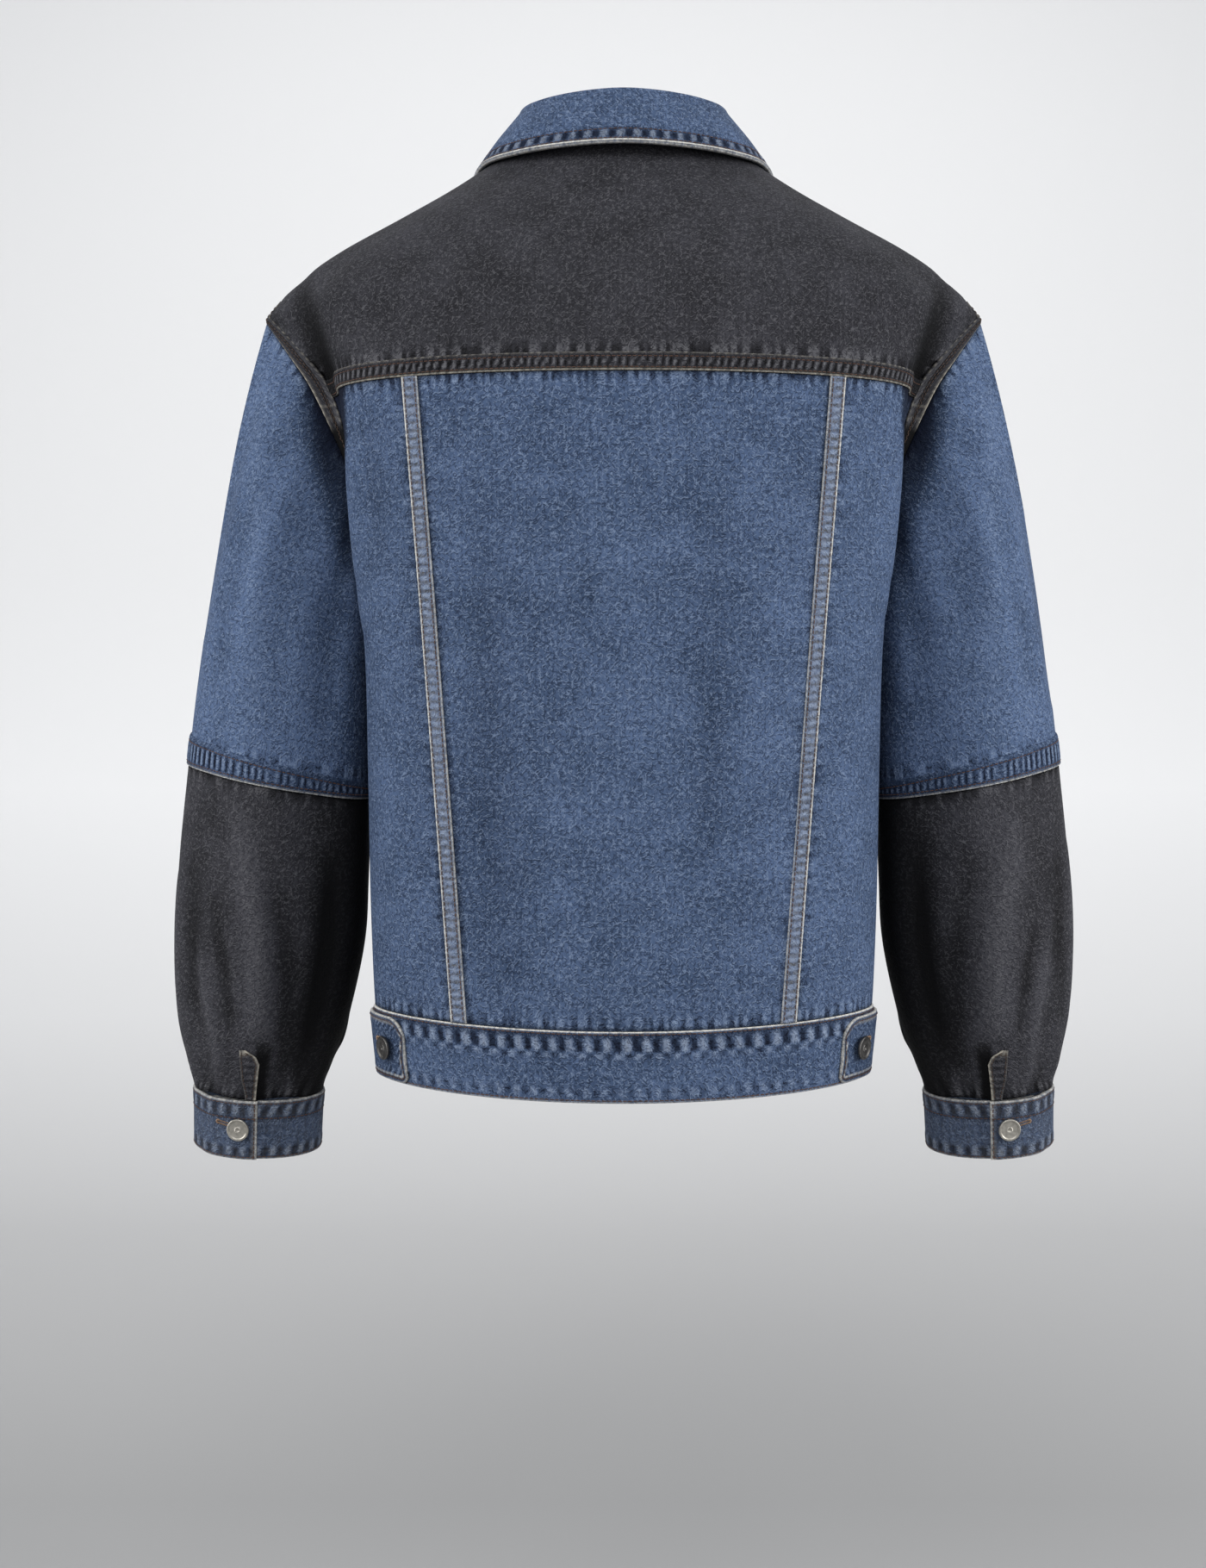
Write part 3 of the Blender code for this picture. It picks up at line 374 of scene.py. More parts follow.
def denim(name, wash):
    """Twill denim, stone-washed: matt, dyed on the face, pale where the wash rubbed it, with painted light
    and shade.
    """
    material, tree, shader = plain_material(name, 0.88, 0.18)
    place = add(tree, "ShaderNodeTexCoord", output="Object")
    flat = add(tree, "ShaderNodeUVMap", uv_map="cloth")
    mark = {each: add(tree, "ShaderNodeAttribute", attribute_name=each, output="Fac") for each in MARKS}
    # Crinkles: short thin squiggles that washing leaves, pale on their crests as rubbed cloth with a
    # painted highlight, and with a painted shadow beside them.
    both = []
    for sets in (PALE_CRINKLES, CRINKLE_SHADOWS):
        lines = []
        for crinkles in sets:
            moved = add(tree, "ShaderNodeVectorMath", flat, crinkles.offset, operation="ADD")
            ridge = add(tree, "ShaderNodeTexNoise", moved, noise_dimensions="2D", normalize=False,
                        noise_type="RIDGED_MULTIFRACTAL", Scale=1 / crinkles.spacing, Detail=0.0,
                        Offset=1.0, Gain=1.0)
            line = add(tree, "ShaderNodeMapRange", ridge, 0.56, 0.96, interpolation_type="SMOOTHSTEP")
            gap = add(tree, "ShaderNodeTexNoise", moved, noise_dimensions="2D", Scale=1 / crinkles.breaks,
                      Detail=0.0)
            kept = add(tree, "ShaderNodeMapRange", gap, 0.40, 0.62, interpolation_type="SMOOTHSTEP")
            lines.append(add(tree, "ShaderNodeMath", line, kept, operation="MULTIPLY"))
        both.append(add(tree, "ShaderNodeMath", *lines, operation="MAXIMUM"))
    crinkle = add(tree, "ShaderNodeMath", *both, operation="SUBTRACT")
    hollow = add(tree, "ShaderNodeMath", both[1], both[0], operation="SUBTRACT", use_clamp=True)
    # Puckers beside a seam: bars square to the seam, across the rows or across the columns, raised in
    # the bump and painted with a highlight on their crests and a shadow between them.
    bars = []
    for way, drawn in (((24.0, 1.2 / PUCKER, 1.0), "rows_drawn"),
                       ((1.2 / PUCKER, 24.0, 1.0), "columns_drawn")):
        scaled = add(tree, "ShaderNodeMapping", flat, Scale=way)
        noise = add(tree, "ShaderNodeTexNoise", scaled, Scale=1.0, Detail=0.0)
        bar = add(tree, "ShaderNodeMapRange", noise, 0.36, 0.64, -1.0, 1.0, interpolation_type="SMOOTHSTEP")
        bars.append(add(tree, "ShaderNodeMath", bar, mark[drawn], operation="MULTIPLY"))
    bars = add(tree, "ShaderNodeMath", *bars, operation="ADD")
    relief = add(tree, "ShaderNodeMath", bars, mark["crest"], operation="ADD")
    # Colour: dyed ground, broad fading and slubs, painted light and shade from the shade mark, then what
    # the wash has rubbed pale.
    broad = add(tree, "ShaderNodeTexNoise", place, Scale=1 / (34 * MM), Detail=3.0, Roughness=0.7)
    broad = add(tree, "ShaderNodeMapRange", broad, 0.32, 0.68, -0.2, 0.4)
    slub_way = add(tree, "ShaderNodeMapping", flat, Scale=(1 / SLUB, 1 / (14 * SLUB), 1.0))
    slub = add(tree, "ShaderNodeTexNoise", slub_way, Scale=1.0, Detail=2.0)
    tone = add(tree, "ShaderNodeMath", slub, 0.7, broad, operation="MULTIPLY_ADD")
    tone = add(tree, "ShaderNodeMath", tone, mark["shade"], operation="ADD", use_clamp=True)
    ground = add(tree, "ShaderNodeMixRGB", tone, colour(wash.deep), colour(wash.plain))
    # Painted shadow: the dark side of the crinkles and the low places of the crests and puckers.
    sunk = add(tree, "ShaderNodeMath", relief, -1.0, operation="MULTIPLY")
    sunk = add(tree, "ShaderNodeMath", hollow, wash.crinkle_shown, sunk, operation="MULTIPLY_ADD",
               use_clamp=True)
    ground = add(tree, "ShaderNodeMixRGB", sunk, ground, colour(wash.bruised))
    # The pale side of the crinkles and the crests of the puckers: rubbed cloth with a painted highlight.
    pale = add(tree, "ShaderNodeMath", relief, 0.75, operation="MULTIPLY")
    pale = add(tree, "ShaderNodeMath", crinkle, wash.crinkle_shown, pale, operation="MULTIPLY_ADD",
               use_clamp=True)
    faded = add(tree, "ShaderNodeMixRGB", pale, ground, colour(wash.faded))
    patchy = add(tree, "ShaderNodeTexNoise", place, Scale=1 / (2.5 * MM), Detail=2.0)
    patchy = add(tree, "ShaderNodeMapRange", patchy, 0.30, 0.60, 0.35, 1.0)
    scuff = add(tree, "ShaderNodeMath", mark["worn"], patchy, operation="MULTIPLY", use_clamp=True)
    surface = add(tree, "ShaderNodeMixRGB", scuff, faded, colour(wash.worn))
    # Painted shade over everything where the shade mark is below zero.
    painted_shade = add(tree, "ShaderNodeMath", mark["shade"], -1.0, operation="MULTIPLY", use_clamp=True)
    surface = add(tree, "ShaderNodeMixRGB", painted_shade, surface, colour(wash.bruised))
    tree.links.new(surface, shader.inputs["Base Color"])
    # Height, in units of the bump's distance: crinkles, and the puckers too fine for the grid.
    height = add(tree, "ShaderNodeMath", bars, 2.0, crinkle, operation="MULTIPLY_ADD")
    bump = add(tree, "ShaderNodeBump", Strength=wash.bump, Distance=0.3 * MM, Height=height)
    tree.links.new(bump, shader.inputs["Normal"])
    return material


def denim_reverse(name, weft, dyed):
    """The wrong side of the same denim: undyed weft with the dyed warp showing between it."""
    material, tree, shader = plain_material(name, 0.92, 0.2)
    flat = add(tree, "ShaderNodeUVMap", uv_map="cloth")
    turned = add(tree, "ShaderNodeMapping", flat, Rotation=(0, 0, radians(62)))
    twill = add(tree, "ShaderNodeTexWave", turned, Scale=0.31 / (1.4 * MM), Distortion=1.5, Detail=1.0,
                output="Fac")
    mixed = add(tree, "ShaderNodeMixRGB", twill, colour(dyed), colour(weft))
    tree.links.new(mixed, shader.inputs["Base Color"])
    bump = add(tree, "ShaderNodeBump", Strength=0.5, Distance=0.3 * MM, Height=twill)
    tree.links.new(bump, shader.inputs["Normal"])
    return material


BLUE = (denim("washed_indigo_denim", INDIGO), denim_reverse("indigo_denim_reverse", "8b97ab", "4c5c78"))
CHARCOAL = (denim("washed_black_denim", BLACK), denim_reverse("black_denim_reverse", "7c7c80", "3c3c40"))


def fit(piece, node):
    """Attach a cloth piece to the root and hide the solid of the node that it stands for."""
    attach(piece, "root")
    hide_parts(node)


GRID = 0.0032  # spacing of the points on the panels
SEAM_TOP, SEAM_FOOT = 0.141, 0.108  # half distance between the back seams, at the yoke and the band
YOKE_FOOT = LEVEL["yoke"] - LEVEL_SHARE


def seam_x(level):
    """Half the distance between the back seams, which are straight from the yoke to the band."""
    foot, top = body_form(BACK, [LEVEL["band_top"], LEVEL["yoke"]], 0.6)[:, 2]
    return SEAM_FOOT + (SEAM_TOP - SEAM_FOOT) * (body_form(BACK, level, 0.6)[..., 2] - foot) / (top - foot)


def levels_up(face, low, high, step, edge=0.0):
    """Levels between two others whose rows are evenly spaced down the middle of the face."""
    fine = np.linspace(low, high, 600)
    run = run_lengths(body_form(face, fine, 0.3), 0)
    return np.interp(shares(run[-1], step, edge) * run[-1], run, fine)


def on_body(face, levels, across, lift=0.0):
    """The cloth whose rows lie at levels and whose columns lie across the body."""
    levels = levels[:, None] + 0 * across
    normals = body_normal(face, levels, across)
    return Cloth(body_form(face, levels, across) + lift * normals, normals)


def folded(relief, depth=0.003, most=0.25):
    """Shade for broad folds: paler on what stands out, darker in the hollows."""
    return most * np.clip(relief / depth, -1, 1)


BACK_CREASES = [  # soft undulations of the hanging back, in metres from the middle and the neck
    Crease(-0.048, -0.560, -0.056, -0.230, 0.005, 0.014, -0.0010),
    Crease(-0.008, -0.610, -0.003, -0.270, 0.006, 0.020, 0.0012),
    Crease(0.076, -0.600, 0.088, -0.250, -0.006, 0.020, -0.0014),
    Crease(0.040, -0.590, 0.046, -0.400, 0.004, 0.013, 0.0008),
    Crease(-0.100, -0.600, -0.098, -0.215, 0.006, 0.018, 0.0014),
    Crease(-0.100, -0.560, -0.040, -0.540, 0.004, 0.010, 0.0008),
    Crease(0.020, -0.480, 0.090, -0.500, -0.006, 0.012, -0.0008),
]


def back_middle():
    levels = levels_up(BACK, LEVEL["band_top"], YOKE_FOOT, GRID)
    half = across_at(BACK, levels, seam_x(levels) - SEAM_GAP / 2)[:, None]
    cloth = on_body(BACK, levels, half * np.linspace(-1, 1, int(0.27 / GRID)))
    x, z = cloth.points[..., 0], cloth.points[..., 2]
    relief = creased(x, z, BACK_CREASES)
    cloth = cloth.moved(relief)
    side = np.minimum(cloth.left, cloth.right)
    marks = {
        "rows_drawn": 0.25 * near(side - 0.006, 0.005),
        "columns_drawn": 0.6 * near(cloth.top - 0.002, 0.005) + 0.55 * near(cloth.foot - 0.003, 0.005),
        # Painted light and shade on the folds, and painted shadow beside the seam strips, under the yoke
        # seam and above the waistband.
        "shade": 0.05 + folded(relief, 0.0016) - 0.55 * near(side - 0.0060, 0.0020)
        - 0.5 * near(cloth.top, 0.003)
        - 0.3 * near(cloth.foot, 0.002),
    }
    piece = sew("back_middle_cloth", cloth, CLOTH, BLUE, marks)
    fit(piece, "back_middle")


back_middle()

# --------------------------------------------------------------------- back side panels
# Two narrow panels of the same denim, from the back seams round the ridge of the back to the
# side seams and the armholes. Below each armhole the cloth falls into one deep soft fold.
SIDE_CREASES = [
    Crease(0.186, -0.200, 0.176, -0.330, 0.004, 0.008, 0.0030),
    Crease(0.168, -0.190, 0.160, -0.300, 0.003, 0.010, -0.0020),
    Crease(0.150, -0.570, 0.160, -0.400, 0.004, 0.012, 0.0014),
    Crease(0.128, -0.480, 0.146, -0.260, 0.004, 0.010, -0.0009),
    Crease(0.140, -0.585, 0.132, -0.500, -0.003, 0.009, 0.0009),
]


def back_sides():
    for side, name in ((1, "left"), (-1, "right")):
        levels = levels_up(BACK, LEVEL["band_top"], YOKE_FOOT, GRID)
        start = across_at(BACK, levels, seam_x(levels) + SEAM_GAP / 2)[:, None]
        across = start + (1 - EDGE_SHARE - start) * np.linspace(0, 1, int(0.125 / GRID))
        cloth = on_body(BACK, levels, side * across)
        x, z = np.abs(cloth.points[..., 0]), cloth.points[..., 2]
        held = np.clip(cloth.right / 0.02, 0, 1)
        relief = creased(x, z + 0.006 * side, SIDE_CREASES) * held
        cloth = cloth.moved(relief)
        armhole = near(cloth.right - 0.013, 0.006) * (z > -0.30)
        marks = {
            "rows_drawn": 0.35 * near(cloth.left - 0.006, 0.006) + 0.3 * armhole,
            "columns_drawn": 0.6 * near(cloth.top - 0.002, 0.005) + 0.55 * near(cloth.foot - 0.003, 0.005),
            # Painted light on the right panel, light and shade on the folds, painted shadow beside the seam
            # strip, under the yoke seam and above the waistband, and deep painted shade past the ridge
            # below the armhole.
            "shade": 0.08 - 0.08 * side + folded(relief) - 0.65 * near(cloth.left - 0.0062, 0.0022)
            - 0.5 * near(cloth.top, 0.003) - 0.3 * near(cloth.foot, 0.002)
            - 0.95 * np.clip((x - 0.1870) / 0.003, 0, 1) * np.clip((z + 0.44) / 0.08, 0, 1),
        }
        piece = sew(f"back_side_{name}_cloth", cloth, CLOTH, BLUE, marks)
        fit(piece, f"back_side_{name}")


back_sides()

# ---------------------------------------------------------------------- felled back seams
# Where the middle and side panels meet, their edges are folded into each other and held by two
# rows of copper-brown topstitching. The wash has rubbed the folded edge almost white.
STRIP = 0.0011  # the fold stands this far above its panel
FELL_WIDTH = 0.0105
STITCH_INSET = 0.0019
FINE = 0.0014  # spacing of the points along a drawn-up seam


def thread_material(name, code):
    """Polyester topstitching thread: twisted, slightly glossy, dulled by the wash."""
    material, tree, shader = plain_material(name, 0.62, 0.4)
    place = add(tree, "ShaderNodeTexCoord", output="Object")
    worn = add(tree, "ShaderNodeTexNoise", place, Scale=1 / (6 * MM), Detail=2.0)
    mixed = add(tree, "ShaderNodeMixRGB", worn, colour(code[0]), colour(code[1]))
    tree.links.new(mixed, shader.inputs["Base Color"])
    return material


THREAD = thread_material("copper_brown_thread", ("3a2a23", "6c4c3c"))
DARK_THREAD = thread_material("dark_brown_thread", ("33261f", "5c4638"))
STITCH, STITCH_STEP, THREAD_RADIUS = 0.0027, 0.0034, 0.00030


def topstitch(name, lines, thread=None, radius=THREAD_RADIUS, stitch=STITCH, step=STITCH_STEP):
    """Short arched stitches along lines of points and normals, joined in one mesh."""
    along = np.array([0.0, 0.14, 0.5, 0.86, 1.0])
    rise = np.array([-0.5, 0.7, 1.0, 0.7, -0.5]) * radius
    thick = np.array([0.6, 1.0, 1.0, 1.0, 0.6]) * radius
    verts, faces = [], []
    ring = np.arange(4)
    tube = [[4 * r + k, 4 * r + (k + 1) % 4, 4 * r + 4 + (k + 1) % 4, 4 * r + 4 + k]
            for r in range(4) for k in ring]
    tube += [[3, 2, 1, 0], [16, 17, 18, 19]]
    for points, normals in lines:
        run = run_lengths(points, 0)
        starts = np.arange(step / 2, run[-1] - stitch, step)
        at = starts[:, None] + along * stitch
        middle = np.stack([np.interp(at, run, points[:, k]) for k in range(3)], -1)
        out = unit(np.stack([np.interp(at, run, normals[:, k]) for k in range(3)], -1))
        way = unit(middle[:, -1:] - middle[:, :1])
        aside = unit(np.cross(out, way))
        middle = middle + out * rise[:, None]
        arms = np.stack((aside, out, -aside, -out), 2) * thick[:, None, None]
        block = (middle[:, :, None] + arms).reshape(-1, 3)
        first = sum(len(part) for part in verts)
        verts.append(block)
        shifts = first + 20 * np.arange(len(starts))[:, None, None]
        faces.append((np.array(tube)[None] + shifts).reshape(-1, 4))
    mesh = bpy.data.meshes.new(name)
    mesh.from_pydata(np.concatenate(verts).tolist(), [], np.concatenate(faces).tolist())
    mesh.materials.append(thread or THREAD)
    mesh.shade_smooth()
    piece = bpy.data.objects.new(name, mesh)
    bpy.context.scene.collection.objects.link(piece)
    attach(piece, "root")
    return piece


def felled(one, other, run, seed, rows=(STITCH_INSET, STITCH_INSET), height=0.00030):
    """Relief, crests and puckers of a strip between its sides: sunk rows, drawn up between them."""
    wave = puckers(run, seed)
    sunk = near(one - rows[0], 0.0006) + near(other - rows[1], 0.0006)
    body = np.clip(np.minimum(one - rows[0], other - rows[1]) / 0.0022, 0, 1)
    relief = height * wave * (0.35 + 0.65 * body) - 0.00028 * sunk + rolled(np.minimum(one, other), STRIP)
    # Crest: paler on the drawn-up ridges as rubbed cloth with a painted highlight, and painted shadow
    # between them and in the sunk rows.
    crest = np.clip(1.9 * wave, -1, 1) * body - 0.45 * sunk
    return relief, crest, wave


def back_seams():
    for side, name in ((1, "left"), (-1, "right")):
        levels = levels_up(BACK, LEVEL["band_top"], YOKE_FOOT, FINE)
        offset = (shares(FELL_WIDTH, 0.0011, 0.0008) - 0.5) * FELL_WIDTH
        across = across_at(BACK, levels[:, None], seam_x(levels)[:, None] + offset)
        cloth = on_body(BACK, levels, side * across, STRIP + SEAM_GAP)
        relief, crest, wave = felled(cloth.left, cloth.right, cloth.foot, 11 if side > 0 else 23)
        marks = {
            "crest": 0.6 * crest,
            "worn": 1.3 * near(cloth.right, 0.0011) * (0.9 + 0.2 * wave) + 0.5 * near(cloth.left, 0.0007)
            + 0.13,
            # Painted shade: thin dark lines inside both edges, and the middle of the strip made lighter.
            "shade": 0.8 * near(cloth.left - FELL_WIDTH / 2, 0.003)
            - 0.5 * near(cloth.right - 0.0018, 0.0005)
            - 0.4 * near(cloth.left - 0.0014, 0.0006),
        }
        cloth = cloth.moved(relief)
        piece = sew(f"back_seam_{name}_cloth", cloth, STRIP, BLUE, marks)
        rows = [cloth.line(STITCH_INSET, way) for way in ("left", "right")]
        stitches = topstitch(f"back_seam_{name}_stitches", rows)
        fit(piece, f"back_seam_{name}")


back_seams()

# ------------------------------------------------------------------------------ back yoke
# One wide piece of washed black denim over the shoulder blades, from the neck and the shoulder
# seams down to the back panels. It is nearly flat, and falls softly towards both armholes.
YOKE_HEM = 0.012
SHOULDER_TOP = LEVEL["neck"]
YOKE_CREASES = [
    Crease(0.226, -0.080, 0.186, -0.215, 0.002, 0.008, -0.0030),
    Crease(0.238, -0.095, 0.198, -0.225, 0.002, 0.005, 0.0016),
    Crease(-0.080, -0.060, -0.120, -0.150, 0.006, 0.016, 0.0010),
    Crease(0.030, -0.080, 0.050, -0.150, -0.006, 0.018, -0.0009),
]


def back_yoke():
    levels = levels_up(BACK, YOKE_FOOT + 2 * LEVEL_SHARE, SHOULDER_TOP, GRID)
    across = (1 - EDGE_SHARE) * np.linspace(-1, 1, int(0.47 / GRID)) + 0 * levels[:, None]
    cloth = on_body(BACK, levels, across)
    x, z = cloth.points[..., 0], cloth.points[..., 2]
    side = np.minimum(cloth.left, cloth.right)
    held = np.clip(side / 0.02, 0, 1)
    fallen = creased(np.abs(x), z, YOKE_CREASES[:2]) * held
    relief = fallen + creased(x, z, YOKE_CREASES[2:]) * held
    cloth = cloth.moved(relief)
    armhole = near(side - 0.013, 0.006) * (z < -0.10)
    marks = {
        "columns_drawn": 0.6 * near(cloth.foot - YOKE_HEM - 0.001, 0.0050),
        "rows_drawn": 0.7 * armhole,
        # Painted light and shade on the folds, deep painted shade in the fold that falls to each armhole,
        # and painted shade under the collar.
        "shade": folded(relief - fallen)
        + folded(fallen, 0.003, 1.3) * (0.4 + 0.6 * np.clip(-10 * z - 0.9, 0, 1))
        - 0.25 * near(cloth.top, 0.010),
    }
    piece = sew("back_yoke_cloth", cloth, CLOTH, CHARCOAL, marks)
    fit(piece, "back_yoke")


back_yoke()

# ------------------------------------------------------------------ felled back yoke seam
# The foot of the yoke is turned under and felled over the blue panels with two rows of
# topstitching. Its drawn-up ridges are rubbed to grey with a painted highlight and a painted shadow
# between them, and its lower edge is rubbed to beige.
ARMHOLE_BAND = 0.0180  # width of the seam round each armhole, under which the yoke seam ends


def hem_level(face, foot, height, across=0.0):
    """The level that lies this height above another one, measured on the cloth."""
    fine = np.linspace(foot, foot + 1, 400)
    run = run_lengths(body_form(face, fine, across), 0)
    return float(np.interp(height, run, fine))


def band_share(face, level):
    """The place across that lies one armhole band before the edge."""
    level = np.clip(level, *CORNERS)
    reach = np.linalg.norm(body_form(face, level, 0.96) - body_form(face, level, 1.0), axis=-1)
    return 1 - 0.04 * ARMHOLE_BAND / reach


def back_yoke_seam():
    foot = YOKE_FOOT + 2 * LEVEL_SHARE
    fine = np.linspace(foot, hem_level(BACK, foot, YOKE_HEM), 200)
    levels = np.interp(shares(YOKE_HEM, 0.0011, 0.0008), np.linspace(0, 1, 200), fine)
    across = band_share(BACK, levels)[:, None] * np.linspace(-1, 1, int(0.43 / FINE))
    cloth = on_body(BACK, levels, across, STRIP + SEAM_GAP)
    relief, crest, wave = felled(cloth.foot, cloth.top, cloth.left, 41, (STITCH_INSET, 0.0026), 0.00042)
    # Its ends turn into the deep fold at the armhole, where they are neither drawn up nor rubbed, and
    # are painted dark as shade. A thin painted shadow lies inside the rubbed lower edge.
    shown = 1 - np.clip((np.abs(cloth.points[..., 0]) - 0.1965) / 0.003, 0, 1)
    marks = {
        "crest": crest * shown,
        "worn": 1.1 * near(cloth.foot, 0.0010) * (0.8 + 0.3 * wave) * (0.3 + 0.7 * shown)
        + 0.3 * near(cloth.top, 0.0008) * (1 + wave) * shown,
        "shade": -0.7 + 0.6 * shown - 0.4 * near(cloth.foot - 0.0013, 0.0005),
    }
    cloth = cloth.moved(relief)
    piece = sew("back_yoke_seam_cloth", cloth, STRIP, CHARCOAL, marks)
    stitches = topstitch("back_yoke_seam_stitches",
                         [cloth.line(STITCH_INSET, "foot"), cloth.line(0.0030, "top")])
    fit(piece, "back_yoke_seam")


back_yoke_seam()

# ------------------------------------------------------ front panels, yokes and their seams
# Two plain front panels of blue denim, with black yokes felled over them like the one behind.
# The left front laps over the right one.
FRONT_OVERLAP = 0.0175
FRONT_YOKE_LEVEL = LEVEL["armhole"] + 0.5
FRONT_HEM = 0.26
UNDER_EDGE = 0.003
PANEL_START = FRONT_OVERLAP + 0.001
FRONT_GRID = 1.3 * GRID
FRONT_CREASES = [
    Crease(0.060, -0.590, 0.075, -0.360, 0.008, 0.016, 0.0014),
    Crease(0.110, -0.560, 0.100, -0.300, -0.010, 0.018, -0.0013),
    Crease(0.150, -0.570, 0.158, -0.360, 0.004, 0.012, 0.0014),
    Crease(0.170, -0.230, 0.150, -0.330, 0.006, 0.010, -0.0020),
    Crease(0.060, -0.440, 0.120, -0.470, 0.004, 0.010, 0.0008),
]


def front_panels():
    for side, name in ((1, "left"), (-1, "right")):
        start_x = UNDER_EDGE if side > 0 else PANEL_START
        for part, low, high, cloths, slot in (
            ("front", LEVEL["band_top"], FRONT_YOKE_LEVEL - LEVEL_SHARE, BLUE, "blue_denim"),
            ("front_yoke", FRONT_YOKE_LEVEL + LEVEL_SHARE, SHOULDER_TOP, CHARCOAL, "charcoal_denim"),
        ):
            levels = levels_up(FRONT, low, high, FRONT_GRID)
            start = across_at(FRONT, levels, start_x)[:, None]
            across = start + (1 - EDGE_SHARE - start) * np.linspace(0, 1, int(0.22 / FRONT_GRID))
            cloth = on_body(FRONT, levels, side * across)
            x, z = np.abs(cloth.points[..., 0]), cloth.points[..., 2]
            held = np.clip(cloth.right / 0.02, 0, 1) * np.clip((cloth.left - 0.02) / 0.02, 0, 1)
            relief = creased(x, z + 0.008 * side, FRONT_CREASES) * held
            cloth = cloth.moved(relief)
            if part == "front":
                marks = {
                    "columns_drawn": 0.55 * near(cloth.top, 0.009) + 0.45 * near(cloth.foot - 0.002, 0.007),
                    "rows_drawn": 0.3 * near(cloth.left - 0.024, 0.006),
                    # Painted light and shade on the folds, and painted shadow under the yoke seam.
                    "shade": folded(relief) - 0.3 * near(cloth.top, 0.004),
                }
            else:
                marks = {"columns_drawn": 0.7 * near(cloth.foot - YOKE_HEM, 0.0065),
                         "rows_drawn": 0.3 * near(cloth.right - 0.013, 0.006) * (z < -0.12)}
            piece = sew(f"{part}_{name}_cloth", cloth, CLOTH, cloths, marks)
            fit(piece, f"{part}_{name}")


def front_yoke_seams():
    for side, name in ((1, "left"), (-1, "right")):
        low = FRONT_YOKE_LEVEL + LEVEL_SHARE
        levels = np.linspace(low, low + FRONT_HEM - LEVEL_SHARE, 13)
        start = across_at(FRONT, levels, PANEL_START)[:, None]
        across = start + (band_share(FRONT, levels)[:, None] - start) * np.linspace(0, 1, int(0.19 / FINE))
        cloth = on_body(FRONT, levels, side * across, STRIP + SEAM_GAP)
        relief, crest, wave = felled(cloth.foot, cloth.top, cloth.left, 51 + side, height=0.00042)
        marks = {"crest": crest, "worn": near(cloth.foot, 0.0008) * (0.8 + 0.3 * wave), "shade": -0.1}
        cloth = cloth.moved(relief)
        piece = sew(f"front_yoke_seam_{name}_cloth", cloth, STRIP, CHARCOAL, marks)
        rows = [cloth.line(STITCH_INSET, "foot"), cloth.line(0.0026, "top")]
        stitches = topstitch(f"front_yoke_seam_{name}_stitches", rows)
        fit(piece, f"front_yoke_seam_{name}")


front_panels()
front_yoke_seams()

# --------------------------------------------------------------------------- button bands
# Each front edge is turned back to a band 35 mm wide, topstitched along both sides. The left
# band lies on top and carries the buttons of the closed front.
DOUBLED = 0.0026
BAND_LIFT = DOUBLED - CLOTH + SEAM_GAP


def front_band_levels():
    low = levels_up(FRONT, LEVEL["band_top"], FRONT_YOKE_LEVEL, 0.0026)
    return np.concatenate((low, levels_up(FRONT, FRONT_YOKE_LEVEL, SHOULDER_TOP, 0.0026)[1:]))


def button_bands():
    levels = front_band_levels()
    width = 2 * FRONT_OVERLAP
    x = FRONT_OVERLAP * (2 * shares(width, 0.0016, 0.0008) - 1)
    cloth = on_body(FRONT, levels, across_at(FRONT, levels[:, None], x), BAND_LIFT + SEAM_GAP)
    inset = np.minimum(cloth.left, cloth.right)
    wave = puckers(cloth.foot, 61)
    drawn = near(inset - 0.004, 0.004)
    marks = {"crest": 0.6 * wave * drawn, "worn": near(inset, 0.0008) * (0.8 + 0.2 * wave)}
    cloth = cloth.moved(0.0003 * wave * drawn + rolled(inset, BAND_LIFT))
    piece = sew("button_band_left_cloth", cloth, BAND_LIFT, BLUE, marks)
    stitches = topstitch("button_band_stitches",
                         [cloth.line(STITCH_INSET, way) for way in ("left", "right")])
    fit(piece, "button_band_left")

    under = PANEL_START + 0.008
    x = np.linspace(-under, FRONT_OVERLAP, 22)
    cloth = on_body(FRONT, levels[::2], across_at(FRONT, levels[::2, None], x), -CLOTH - SEAM_GAP)
    piece = sew("button_band_right_cloth", cloth, BAND_LIFT, BLUE, {})
    fit(piece, "button_band_right")


button_bands()

# ------------------------------------------------------------------- felled armhole seams
# The black yoke ends in a felled seam that runs all the way round each armhole. Two rows of
# dark stitching hold it, and its fold is rubbed pale against the blue sleeve.
ARM_STEPS = 10  # the armhole is stated as this many steps up the back and as many down the front
ARMHOLE_ROWS = (0.0070, 0.0066)  # the stitch rows lie this far in from the outer and the inner side
CROSSED_AT = (-0.1760, -0.1850)  # heights of the two edges of the yoke seam that the band covers


